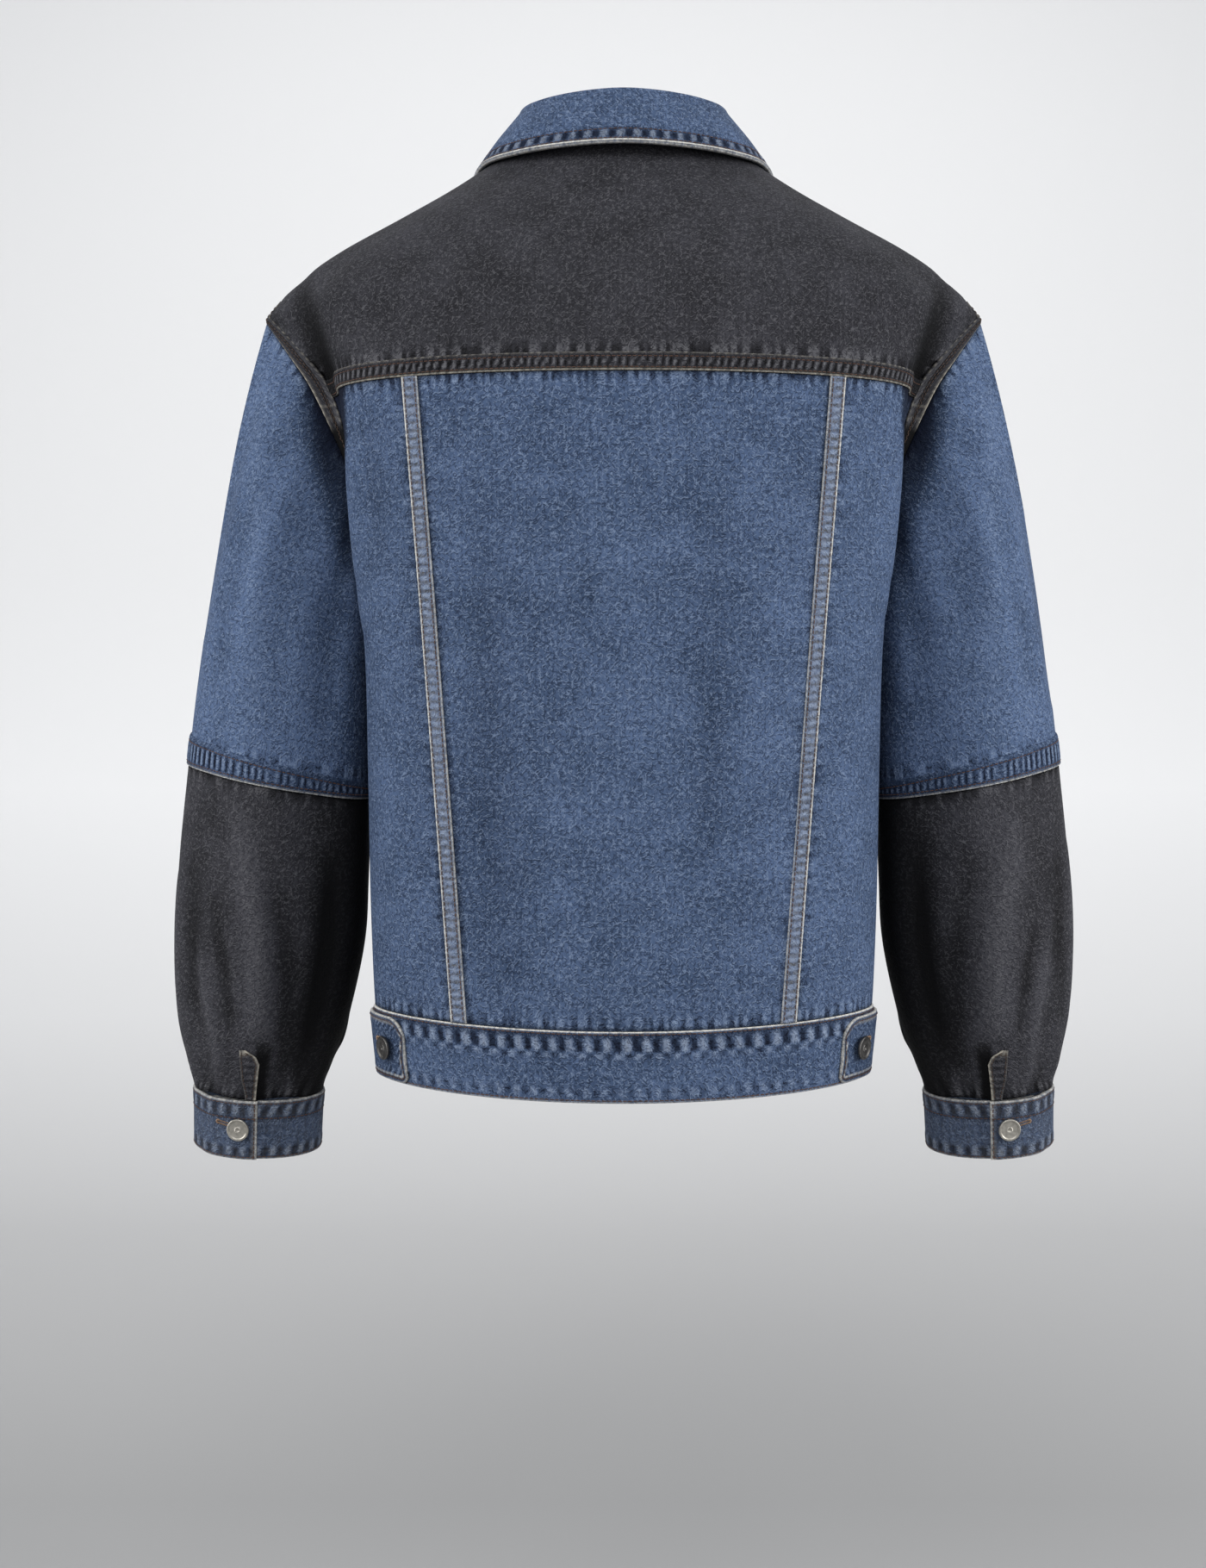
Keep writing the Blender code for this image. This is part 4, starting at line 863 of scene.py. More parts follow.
def armhole_seams():
    low, high = LEVEL["underarm"] - 0.28, LEVEL["tip"] + 0.45
    foot, top = CORNERS
    even = np.linspace(foot, top, ARM_STEPS + 1)
    for side, name in ((1, "left"), (-1, "right")):
        outer, inner, faces = [], [], []
        for face in (BACK, FRONT):
            edge = np.concatenate(([foot - 0.04, foot - 0.02], even, [top + 0.02, top + 0.04]))
            inside = np.concatenate(([low, low], even, [high, high]))
            share = np.concatenate(([1 - EDGE_SHARE], [band_share(face, low)], band_share(face, even),
                                    [band_share(face, high)], [1 - EDGE_SHARE]))
            # Points along the inner line, evenly spaced, and their partners on the armhole's edge.
            steps = np.arange(len(edge))
            fine = np.linspace(0, steps[-1], 2400)
            level, place = np.interp(fine, steps, inside), np.interp(fine, steps, share)
            run = run_lengths(body_form(face, level, side * place), 0)
            picks = np.interp(np.linspace(0, run[-1], int(run[-1] / FINE)), run, fine)
            if face == FRONT:
                picks = picks[::-1]
            outer.append(np.interp(picks, steps, edge))
            inner.append(np.stack((np.interp(picks, steps, inside), np.interp(picks, steps, share)), -1))
            faces.append(np.full(len(picks), face))
        width = shares(ARMHOLE_BAND, 0.0016, 0.0008)[:, None]
        grids = []
        for face, edge, inside in zip((BACK, FRONT), outer, inner):
            level = edge + (inside[:, 0] - edge) * width
            place = (1 - EDGE_SHARE) + (inside[:, 1] - (1 - EDGE_SHARE)) * width
            normals = body_normal(face, level, side * place)
            crowded = near(edge - CORNERS[1], 0.5)[..., None]
            lift = STRIP * (1 - 0.6 * crowded) + 1.5 * SEAM_GAP
            points = body_form(face, level, side * place) + lift * normals
            grids.append((points, normals))
        points = np.concatenate((grids[0][0][:, :-1], grids[1][0]), 1)
        normals = np.concatenate((grids[0][1][:, :-1], grids[1][1]), 1)
        points[:, -1], normals[:, -1] = points[:, 0], normals[:, 0]
        cloth = Cloth(points, normals)
        around = cloth.left[len(width) // 2][None, :] + 0 * cloth.foot
        relief, crest, wave = felled(cloth.foot, cloth.top, around, 71 + side, ARMHOLE_ROWS, 0.00026)
        tip = np.argmax(points[0, :, 2])
        relief = relief * (1 - near(around - around[0, tip], 0.020))
        # Painted shade where the band runs down into the deep fold at the back: dark, and without wear.
        painted_fold_shade = np.clip((-0.188 - points[..., 2]) / 0.008, 0, 1) * (points[..., 1] > 0)
        crossed = sum(near(points[..., 2] - height, 0.0005) for height in CROSSED_AT) * (points[..., 1] > 0)
        sunk = near(cloth.foot - ARMHOLE_ROWS[0], 0.0006) + near(cloth.top - ARMHOLE_ROWS[1], 0.0006)
        marks = {
            "crest": (0.20 * crest + 0.35 * near(cloth.top - 0.0025, 0.0026)) * (1 - painted_fold_shade),
            "worn": (1 - painted_fold_shade) * (1.4 * near(cloth.foot, 0.0012) * (0.85 + 0.25 * wave)
                                    + 0.30 * near(cloth.top, 0.0009) * (0.6 + wave) + 0.5 * crossed),
            # Painted shadow in the two sunk stitch rows, and painted shade in the fold.
            "shade": -0.06 - 0.7 * sunk - 1.1 * painted_fold_shade,
        }
        cloth = cloth.moved(relief)
        piece = sew(f"armhole_seam_{name}_cloth", cloth, STRIP, CHARCOAL, marks, closed=True)
        rows = [cloth.line(ARMHOLE_ROWS[0], "foot"), cloth.line(ARMHOLE_ROWS[1], "top")]
        # The rows start half way up the back, because the fold below takes them in.
        rows = [(row[row[:, 2].argmax() // 2:], normals[row[:, 2].argmax() // 2:]) for row, normals in rows]
        stitches = topstitch(f"armhole_seam_{name}_stitches", rows, DARK_THREAD)
        fit(piece, f"armhole_seam_{name}")


armhole_seams()

# -------------------------------------------------------------------------- upper sleeves
# Blue tubes set into the armholes, which widen towards the elbow and hang a little forwards.
# Long soft folds fall from the shoulder tip and from under the arm.
Ring = namedtuple("Ring", "name z mid_x mid_y half_width half_depth lean pitch")
SLEEVE_RINGS = [
    Ring("elbow", -0.4370, 0.2470, -0.015, 0.0660, 0.0600, 11, 5),
    Ring("forearm", -0.5000, 0.2515, -0.018, 0.0680, 0.0600, 7, 6),
    Ring("low_arm", -0.5500, 0.2545, -0.021, 0.0675, 0.0575, 4, 7),
    Ring("taper", -0.6060, 0.2600, -0.026, 0.0605, 0.0510, 3, 7),
    Ring("wrist", -0.6400, 0.2640, -0.030, 0.0520, 0.0445, 3, 7),
    Ring("cuff_top", -0.6600, 0.2652, -0.033, 0.0463, 0.0390, 3, 7),
    Ring("cuff_foot", -0.7015, 0.2670, -0.038, 0.0447, 0.0375, 3, 8),
]
RING = {ring.name: index for index, ring in enumerate(SLEEVE_RINGS)}
RINGS = np.array([ring[1:] for ring in SLEEVE_RINGS])
CAP_FALL = 0.95
Hollow = namedtuple("Hollow", "around width elbow_depth wrist_depth")
SLEEVE_HOLLOWS = [  # the broad hollows that the solid sleeve has: 0 underarm, 0.25 back, 0.5 outside
    Hollow(0.17, 0.045, 0.0030, 0.0050),
    Hollow(0.36, 0.040, 0.0020, 0.0035),
    Hollow(0.66, 0.050, 0.0025, 0.0045),
    Hollow(0.85, 0.045, 0.0030, 0.0040),
]
UNDERARM_CLEAR = STRIP + 4.5 * SEAM_GAP
ELBOW_SHARE = 0.93
SLEEVE_GRID = 0.0038


def ring_form(place, around, lift=0.0, hollows=1.0):
    """Points of the left sleeve below the elbow, at fractional rings and shares of the girth."""
    place, around = np.broadcast_arrays(np.asarray(place, float), np.asarray(around, float))
    ring = Ring("", *np.moveaxis(spline(RINGS, place), -1, 0))
    angle = 2 * pi * around
    lean, pitch, none = np.radians(ring.lean), np.radians(ring.pitch), 0 * angle
    wide = np.stack((np.cos(lean), none, np.sin(lean)), -1)
    deep = np.stack((none, np.cos(pitch), -np.sin(pitch)), -1)
    down = np.clip(place / RING["wrist"], 0, 1)
    for hollow in SLEEVE_HOLLOWS:
        depth = hollow.elbow_depth + (hollow.wrist_depth - hollow.elbow_depth) * down
        lift = lift - hollows * depth * near(around - hollow.around, hollow.width)
    away = unit(np.stack((-np.cos(angle) * ring.half_depth, np.sin(angle) * ring.half_width), -1))
    middle = np.stack((ring.mid_x, ring.mid_y, ring.z), -1)
    sideways = -np.cos(angle) * ring.half_width + away[..., 0] * lift
    backwards = np.sin(angle) * ring.half_depth + away[..., 1] * lift
    return middle + sideways[..., None] * wide + backwards[..., None] * deep


def armhole_place(turn):
    """Points and normals of the armhole's edge: turn is 0 underarm, 10 tip and 20 underarm again."""
    turn = np.asarray(turn, float) % (2 * ARM_STEPS)
    behind = turn <= ARM_STEPS
    share = np.where(behind, turn, 2 * ARM_STEPS - turn) / ARM_STEPS
    level = CORNERS[0] + share * (CORNERS[1] - CORNERS[0])
    points = np.where(behind[..., None], body_form(BACK, level, 1.0), body_form(FRONT, level, 1.0))
    normals = np.where(behind[..., None], body_normal(BACK, level, 1.0), body_normal(FRONT, level, 1.0))
    return points, unit(normals)


def girth_shares():
    """The share of the girth at each armhole step, with the shoulder tip at a half."""
    points, _ = armhole_place(np.arange(2 * ARM_STEPS + 1))
    step = np.linalg.norm(np.diff(points, axis=0), axis=1)
    halves = [half / (2 * half.sum()) for half in (step[:ARM_STEPS], step[ARM_STEPS:])]
    return np.concatenate(([0], np.cumsum(np.concatenate(halves))))


def upper_sleeve_form(turn, share):
    """Points of the left upper sleeve: turn goes round the armhole, share down to the elbow."""
    turn, share = np.broadcast_arrays(np.asarray(turn, float), np.asarray(share, float))
    around = spline(girth_shares()[:, None], turn)[..., 0]
    angle = 2 * pi * around
    outward = 0.5 * (1 - np.cos(angle))
    edge, normal = armhole_place(turn)
    past = unit(np.cross(normal, armhole_place(turn + 0.6)[0] - armhole_place(turn - 0.6)[0]))
    under = (np.clip(np.cos(angle), 0, None) ** 2)[..., None]
    start = edge + (1 - under) * 2 * SEAM_GAP * past + under * UNDERARM_CLEAR * normal
    end = ring_form(0.0, around)
    first = np.stack((0.12 + 0.75 * np.sin(angle) ** 2 * outward + 0.18 * outward,
                      0.22 * np.sin(angle), -1 + 0 * angle), -1)
    last = ring_form(1.0, around) - end
    length = np.linalg.norm(end - start, axis=-1, keepdims=True)
    return hermite(start, unit(first) * length * CAP_FALL, end, unit(last) * length, share[..., None])


def tube_normals(points):
    """Outward normals of a tube whose last column repeats its first."""
    up = np.gradient(points, axis=0)
    wrapped = np.concatenate((points[:, -2:-1], points, points[:, 1:2]), 1)
    around = wrapped[:, 2:] - wrapped[:, :-2]
    normals = unit(np.cross(up, around))
    middle = points[len(points) // 2]
    outward = (normals[len(points) // 2] * (middle - middle.mean(0))).sum()
    return normals if outward > 0 else -normals


def mirrored(cloth, side):
    """The same piece for the left sleeve (1) or the right sleeve (-1)."""
    flip = np.array((side, 1.0, 1.0))
    copy = Cloth(cloth.points * flip, cloth.normals * flip)
    copy.left, copy.right, copy.foot, copy.top = cloth.left, cloth.right, cloth.foot, cloth.top
    return copy


# Creases of the upper sleeve: metres round the girth from the underarm, then metres up from the hem.
UPPER_CREASES = {
    1: [
        Crease(0.066, 0.300, 0.056, 0.040, 0.006, 0.009, -0.0034),
        Crease(0.086, 0.210, 0.078, 0.030, 0.004, 0.008, 0.0012),
        Crease(0.104, 0.160, 0.098, 0.020, -0.004, 0.007, -0.0010),
        Crease(0.128, 0.270, 0.122, 0.012, 0.003, 0.008, 0.0026),
        Crease(0.150, 0.250, 0.146, 0.050, 0.003, 0.010, -0.0015),
        Crease(0.185, 0.260, 0.188, 0.090, 0.004, 0.012, -0.0014),
        Crease(0.120, 0.120, 0.170, 0.080, 0.006, 0.008, 0.0011),
        Crease(0.260, 0.240, 0.250, 0.040, 0.006, 0.012, -0.0024),
        Crease(0.300, 0.200, 0.310, 0.020, -0.004, 0.011, 0.0020),
        Crease(0.345, 0.260, 0.350, 0.060, 0.004, 0.010, -0.0026),
    ],
    -1: [
        Crease(0.064, 0.290, 0.058, 0.060, 0.005, 0.009, -0.0032),
        Crease(0.088, 0.240, 0.076, 0.090, 0.005, 0.008, 0.0014),
        Crease(0.106, 0.190, 0.100, 0.030, -0.005, 0.008, -0.0012),
        Crease(0.132, 0.260, 0.126, 0.020, 0.003, 0.009, 0.0024),
        Crease(0.152, 0.230, 0.150, 0.030, 0.003, 0.010, -0.0013),
        Crease(0.190, 0.180, 0.186, 0.040, -0.004, 0.012, -0.0015),
        Crease(0.125, 0.170, 0.168, 0.140, -0.006, 0.008, 0.0010),
        Crease(0.255, 0.220, 0.262, 0.050, 0.006, 0.012, -0.0022),
        Crease(0.305, 0.230, 0.298, 0.030, 0.004, 0.011, 0.0022),
        Crease(0.340, 0.240, 0.352, 0.050, 0.004, 0.010, -0.0024),
    ],
}


def inward(cloth):
    """How far the places of a tube look towards the body: 1 is the underarm, 0 the back and the front."""
    return np.clip(np.cos(2 * pi * cloth.left / cloth.left[:, -1:]), 0, 1)


def upper_sleeve_grid(down):
    turn = np.linspace(0, 2 * ARM_STEPS, int(0.42 / SLEEVE_GRID) + 1)
    points = upper_sleeve_form(turn[None, :], down[:, None])[::-1]
    points[:, -1] = points[:, 0]
    return Cloth(points, tube_normals(points))


def upper_relief(cloth, side):
    held = np.clip(cloth.foot / 0.015, 0, 1) * np.clip(cloth.top / 0.020, 0, 1)
    return creased(cloth.left, cloth.foot, UPPER_CREASES[side]) * held


def upper_sleeves():
    down = shares(0.30, SLEEVE_GRID)
    plain = upper_sleeve_grid(down)
    inner = inward(plain)
    for side, name in ((1, "left"), (-1, "right")):
        relief = upper_relief(plain, side)
        cloth = mirrored(plain, side).moved(relief)
        x, y, z = np.moveaxis(cloth.points * (side, 1, 1), -1, 0)
        # Painted shade where the cloth hangs against the body, darkest below the armhole.
        high = np.clip((z + 0.30) / 0.10, 0, 1)
        kept = np.clip((0.202 + 0.031 * high - x) / (0.013 + 0.007 * high), 0, 1)
        kept *= np.clip((-0.10 - z) / 0.04, 0, 1)
        # A painted highlight down the ridge at the back of the sleeve.
        painted_ridge_highlight = near(x - 0.257, 0.006) * (y > 0)
        painted_ridge_highlight *= np.clip(cloth.foot / 0.05, 0, 1) * np.clip(cloth.top / 0.05, 0, 1)
        marks = {
            "crest": 0.14 * painted_ridge_highlight,
            "columns_drawn": 0.5 * near(cloth.foot - 0.018, 0.004) + 0.5 * near(cloth.top - 0.003, 0.006),
            # Painted light over the whole sleeve, light and shade on its folds, and painted shade on the
            # side towards the body, under the armhole seam and where it hangs against the body.
            "shade": 0.34 + folded(relief, 0.0024, 0.3) - 0.30 * inner**1.7 - 0.35 * near(cloth.top, 0.003)
            - (0.25 + 1.05 * high) * kept * np.clip(y / 0.03 + 1, 0, 1),
        }
        piece = sew(f"sleeve_upper_{name}_cloth", cloth, CLOTH, BLUE, marks, closed=True)
        fit(piece, f"sleeve_upper_{name}")


upper_sleeves()

# --------------------------------------------------------------- elbow seams of the sleeves
# The blue upper sleeve is turned and felled over the black lower one: a hem 11 mm deep towards the
# body and 22 mm outside, with two rows of brown topstitching, strongly drawn up, and a bright
# rubbed edge at its foot.
ELBOW_ROWS = (0.0030, 0.0042)  # how far in its two stitch rows lie from its foot and from its top


def elbow_seams():
    fine = np.linspace(ELBOW_SHARE - 0.02, 1, 300)
    middle = run_lengths(upper_sleeve_form(ARM_STEPS / 2, fine), 0)
    height = float(np.interp(1, fine, middle) - np.interp(ELBOW_SHARE, fine, middle))
    down = ELBOW_SHARE + (1 - ELBOW_SHARE) * shares(height, 0.0011, 0.0008)
    turn = np.linspace(0, 2 * ARM_STEPS, int(0.42 / FINE) + 1)
    points = upper_sleeve_form(turn[None, :], down[:, None])[::-1]
    points[:, -1] = points[:, 0]
    plain = Cloth(points, tube_normals(points))
    plain = plain.moved(STRIP + SEAM_GAP + 0 * plain.foot)
    for side, name in ((1, "left"), (-1, "right")):
        relief, crest, wave = felled(plain.foot, plain.top, plain.left, 81 + side, ELBOW_ROWS, 0.00048)
        relief = relief - 0.5 * STRIP * near(plain.top, 0.0015)
        marks = {
            "crest": crest,
            "worn": near(plain.foot, 0.0010) * (0.9 + 0.2 * wave),
            # Painted shade all round, a thin painted shadow inside the rubbed foot, and painted shade on
            # the side towards the body.
            "shade": -0.12 - 0.3 * near(plain.foot - 0.0016, 0.0006) - 0.35 * inward(plain),
        }
        cloth = mirrored(plain, side).moved(relief)
        piece = sew(f"elbow_seam_{name}_cloth", cloth, STRIP, BLUE, marks, closed=True)
        rows = [cloth.line(ELBOW_ROWS[0], "foot"), cloth.line(ELBOW_ROWS[1], "top")]
        stitches = topstitch(f"elbow_seam_{name}_stitches", rows)
        fit(piece, f"elbow_seam_{name}")


elbow_seams()

# -------------------------------------------------------------------------- lower sleeves
# Tapered tubes of the black denim. Their wide foot is pressed into short tucks where the cuff
# gathers it, and long soft folds run down from the elbow into them.
LOWER_CREASES = {
    1: [
        Crease(0.050, 0.190, 0.040, 0.010, 0.004, 0.009, -0.0032),
        Crease(0.092, 0.170, 0.048, 0.010, 0.002, 0.009, -0.0020),
        Crease(0.118, 0.215, 0.064, -0.008, 0.002, 0.009, 0.0034),
        Crease(0.136, 0.150, 0.082, 0.016, 0.004, 0.006, -0.0024),
        Crease(0.148, 0.120, 0.094, 0.020, 0.006, 0.005, 0.0022),
        Crease(0.160, 0.180, 0.140, 0.060, 0.004, 0.010, -0.0020),
        Crease(0.182, 0.160, 0.150, 0.010, 0.006, 0.009, 0.0022),
        Crease(0.200, 0.130, 0.175, 0.000, 0.004, 0.007, -0.0024),
        Crease(0.250, 0.180, 0.235, 0.010, 0.006, 0.011, 0.0026),
        Crease(0.290, 0.200, 0.270, 0.000, 0.006, 0.010, -0.0032),
        Crease(0.340, 0.190, 0.315, 0.010, 0.006, 0.010, 0.0024),
    ],
    -1: [
        Crease(0.052, 0.200, 0.042, 0.015, 0.004, 0.009, -0.0030),
        Crease(0.090, 0.190, 0.050, 0.020, 0.002, 0.009, -0.0018),
        Crease(0.122, 0.205, 0.068, 0.000, 0.003, 0.010, 0.0032),
        Crease(0.134, 0.130, 0.084, 0.020, 0.004, 0.006, -0.0022),
        Crease(0.152, 0.140, 0.096, 0.016, 0.005, 0.006, 0.0020),
        Crease(0.166, 0.200, 0.146, 0.040, 0.004, 0.010, -0.0018),
        Crease(0.186, 0.180, 0.158, 0.020, 0.006, 0.009, 0.0020),
        Crease(0.205, 0.110, 0.182, 0.000, 0.004, 0.007, -0.0026),
        Crease(0.245, 0.200, 0.240, 0.020, 0.006, 0.011, 0.0024),
        Crease(0.285, 0.180, 0.265, 0.000, 0.006, 0.010, -0.0030),
        Crease(0.335, 0.200, 0.320, 0.020, 0.006, 0.010, 0.0026),
    ],
}
Tuck = namedtuple("Tuck", "around width height depth")
CUFF_TUCKS = [  # short gathers above the cuff, as shares of the girth, with heights in metres
    Tuck(0.045, 0.011, 0.022, 0.0016), Tuck(0.110, 0.009, 0.016, -0.0014),
    Tuck(0.150, 0.010, 0.030, 0.0018), Tuck(0.195, 0.008, 0.018, -0.0016),
    Tuck(0.330, 0.009, 0.026, 0.0018), Tuck(0.375, 0.008, 0.017, -0.0015),
    Tuck(0.430, 0.010, 0.022, 0.0015), Tuck(0.520, 0.010, 0.016, -0.0012),
    Tuck(0.610, 0.012, 0.026, 0.0017), Tuck(0.690, 0.009, 0.018, -0.0015),
    Tuck(0.770, 0.011, 0.024, 0.0016), Tuck(0.880, 0.010, 0.020, -0.0014),
]
VENT_AT, VENT_SHARE = 0.231, 1 / 24  # where the vent opens, and how much of the girth its strip takes
LOWER_TOP = 2 * SEAM_GAP / (SLEEVE_RINGS[0].z - SLEEVE_RINGS[1].z)
LOWER_FOOT = RING["cuff_top"] - 0.03


def lower_relief(place, around, run, height, side):
    held = np.clip(height / 0.004, 0, 1)
    top = np.clip((place - LOWER_TOP) / 0.25, 0, 1)
    relief = creased(run, height, LOWER_CREASES[side]) * top * np.clip(height / 0.010, 0, 1)
    for tuck in CUFF_TUCKS:
        tucked = near(around - tuck.around - 0.004 * side, tuck.width) * near(height, tuck.height)
        relief = relief + tuck.depth * tucked * held
    beside_placket = np.clip(1.5 * near(around - VENT_AT - VENT_SHARE / 2, 0.040), 0, 1)
    return relief * (1 - 0.9 * beside_placket * np.clip((0.060 - height) / 0.015, 0, 1))


def lower_sleeve_grid(places, around):
    points = ring_form(places[:, None], around[None, :])[::-1]
    return Cloth(points, tube_normals(points))


def lower_sleeves():
    fine = np.linspace(LOWER_TOP, LOWER_FOOT, 500)
    run = run_lengths(ring_form(fine, 0.25), 0)
    places = np.interp(shares(run[-1], SLEEVE_GRID) * run[-1], run, fine)
    around = np.linspace(0, 1, int(0.42 / SLEEVE_GRID) + 1)
    plain = lower_sleeve_grid(places, around)
    inner = inward(plain)
    outer, behind = -np.cos(2 * pi * around), np.clip(3 * np.sin(2 * pi * around), 0, 1)
    for side, name in ((1, "left"), (-1, "right")):
        relief = lower_relief(places[::-1, None], around[None, :], plain.left, plain.foot, side)
        cloth = mirrored(plain, side).moved(relief)
        # Painted shadow beside the vent, on its side towards the body.
        beside_vent = np.clip((around - VENT_AT + 0.026) / 0.012, 0, 1) * (around < VENT_AT + 0.010)
        marks = {
            # Painted highlight on the ridges of the folds away from the body. The shade is painted: light
            # over the sleeve, light and shade on the folds, deep on the side towards the body, a lit ridge
            # and a darker outer side behind, and painted shadow under the elbow seam and beside the vent.
            "crest": 0.22 * np.clip(relief / 0.0028, 0, 1) * (1 - inner),
            "columns_drawn": 0.55 * near(cloth.foot - 0.002, 0.006) + 0.4 * near(cloth.top - 0.002, 0.005),
            "shade": 0.18 + folded(relief, 0.0028, 0.7) - 1.4 * inner**2.4
            + behind * (0.15 * near(outer - 0.2, 0.2) - 0.22 * near(outer - 0.62, 0.25))
            - 0.45 * near(cloth.top, 0.003)
            - 1.2 * beside_vent * np.clip((0.050 - cloth.foot) / 0.014, 0, 1),
        }
        piece = sew(f"sleeve_lower_{name}_cloth", cloth, CLOTH, CHARCOAL, marks, closed=True)
        fit(piece, f"sleeve_lower_{name}")


lower_sleeves()

# --------------------------------------------------------------------------- vent plackets
# The slit above each cuff is bound with a narrow strip of the black denim, topstitched along
# both sides. It narrows to a tack at its top, and its edge towards the body is rubbed.
PLACKET_ROWS = (0.0022, 0.0014)


def plackets():
    places = np.linspace(RING["cuff_top"] - 1.62, LOWER_FOOT, 46)[::-1]
    up = np.linspace(0, 1, 46)[:, None]
    near_body = np.interp(up, [0, 0.5, 0.8, 0.92, 1], [0.12, 0.03, 0, 0.22, 0.72])
    away = np.interp(up, [0, 1], [0.7, 1])
    around = VENT_AT + VENT_SHARE * (near_body + (away - near_body) * shares(0.0165, 0.0011, 0.0008))
    whole = tube_normals(ring_form(places[:, None], np.linspace(0, 1, 97)[None, :]))
    normals = unit(spline(whole.transpose(1, 0, 2), 96 * around[0]).transpose(1, 0, 2))
    plain = Cloth(ring_form(places[:, None], around), normals)
    for side, name in ((1, "left"), (-1, "right")):
        cloth = mirrored(plain, side).moved(STRIP + SEAM_GAP + 0.0006 + 0 * plain.left)
        relief, crest, wave = felled(cloth.left, cloth.right, cloth.foot, 91 + side, PLACKET_ROWS, 0.0003)
        marks = {
            "crest": 0.25 * crest,
            "worn": 1.3 * near(cloth.left, 0.0014) * (0.85 + 0.25 * wave) + 0.2 * near(cloth.right, 0.0007)
            + 0.6 * near(cloth.top - 0.002, 0.0020),
            "shade": 0.15,
        }
        cloth = cloth.moved(relief)
        piece = sew(f"sleeve_placket_{name}_cloth", cloth, STRIP, CHARCOAL, marks)
        rows = [cloth.line(PLACKET_ROWS[0], "left"), cloth.line(PLACKET_ROWS[1], "right"),
                cloth.line(0.0040, "top")]
        stitches = topstitch(f"sleeve_placket_{name}_stitches", rows, DARK_THREAD, 0.00025)
        fit(piece, f"sleeve_placket_{name}")


plackets()

# ---------------------------------------------------------------------------------- cuffs
# A doubled band of blue denim round each wrist. Its free end laps over from the outer side and
# is buttoned behind. Both long edges and the end are topstitched and rubbed.
CUFF_OPEN_AT, CUFF_UNDERLAP, CUFF_PROUD = 0.231, 0.12, 0.0014
CUFF_HEIGHT, CUFF_GIRTH = 0.0417, 0.262
CUFF_GRID = 0.0012


def dense(stations, lengths, step):
    """Many stations between a few, evenly spaced by length; each station is a row of numbers."""
    stations, lengths = np.asarray(stations, float), np.asarray(lengths, float)
    run = np.concatenate(([0], np.cumsum(lengths)))
    places = shares(run[-1], step, 0.0010) * run[-1]
    return np.stack([np.interp(places, run, channel) for channel in stations.T], -1)


def cuffs():
    over = DOUBLED + SEAM_GAP
    lap_end = CUFF_OPEN_AT + CUFF_UNDERLAP
    stations = [(CUFF_OPEN_AT, over), (lap_end, over), (lap_end + 0.05, 0), (1 + CUFF_OPEN_AT, 0),
                (1 + lap_end, 0)]
    lengths = [(b[0] - a[0]) * CUFF_GIRTH for a, b in zip(stations, stations[1:])]
    around, lift = dense(stations, lengths, 1.7 * CUFF_GRID).T
    places = RING["cuff_top"] + 1 - shares(CUFF_HEIGHT, CUFF_GRID, 0.0010)
    fine = ring_form(places[:, None], around[None, :] % 1.0, CUFF_PROUD + lift[None, :], 0.0)
    up, beside = np.gradient(fine, axis=0), np.gradient(fine, axis=1)
    normals = unit(np.cross(up, beside))
    to_middle = np.array((SLEEVE_RINGS[-1].mid_x, SLEEVE_RINGS[-1].mid_y, 0)) - fine
    if (normals * to_middle).sum() > 0:
        normals = -normals
    plain = Cloth(fine, normals)
    for side, name in ((1, "left"), (-1, "right")):
        edge = np.minimum(plain.foot, plain.top)
        inset = np.minimum(edge, np.where(plain.left < 0.05, plain.left, 1.0))
        wave = puckers(plain.left, 101 + side, 0.0115)
        upper = np.clip(1.6 * near(plain.top - 0.0070, 0.0032), 0, 1)
        lower = np.clip(1.6 * near(plain.foot - 0.0058, 0.0028), 0, 1)
        second = near(plain.top - 0.0125, 0.0009)
        sunk = near(inset - STITCH_INSET, 0.0007) + 0.6 * second
        other = puckers(plain.left + 0.0057, 101 + side, 0.0115)
        drawn = wave * upper + other * lower
        relief = 0.00050 * drawn - 0.00028 * sunk + rolled(inset, DOUBLED)
        free_end = near(plain.left, 0.0018)
        marks = {
            # Crests paler as rubbed cloth with a painted highlight, painted shadow between them and in the
            # sunk rows; painted shade over the whole cuff, deeper in the drawn-up bands and along its
            # second row.
            "crest": np.clip(1.7 * drawn, -0.9, 0.75) - 0.5 * sunk,
            "worn": near(edge, 0.0009) * (0.75 + 0.25 * wave) + 0.9 * free_end
            + 0.22 * np.clip(drawn, 0, 1) + 0.06,
            "shade": -0.24 - 0.10 * (upper + lower) - 0.25 * second,
        }
        cloth = mirrored(plain, side).moved(relief)
        piece = sew(f"cuff_{name}_cloth", cloth, DOUBLED, BLUE, marks)
        rows = [cloth.line(STITCH_INSET, way) for way in ("foot", "top", "left")]
        rows.append(cloth.line(0.0125, "top"))
        stitches = topstitch(f"cuff_{name}_stitches", rows)
        fit(piece, f"cuff_{name}")


cuffs()

# ------------------------------------------------------------------------------ waistband
# A doubled band of blue denim that holds the foot of every panel. It runs once round and laps
# at the front. Its upper edge is rubbed nearly white, and its lower one brown-grey.
BAND_PROUD = 0.0012
BAND_TOP = LEVEL["band_top"] - 3 * LEVEL_SHARE
BAND_GRID = 0.0014
BAND_HEIGHT = 0.046


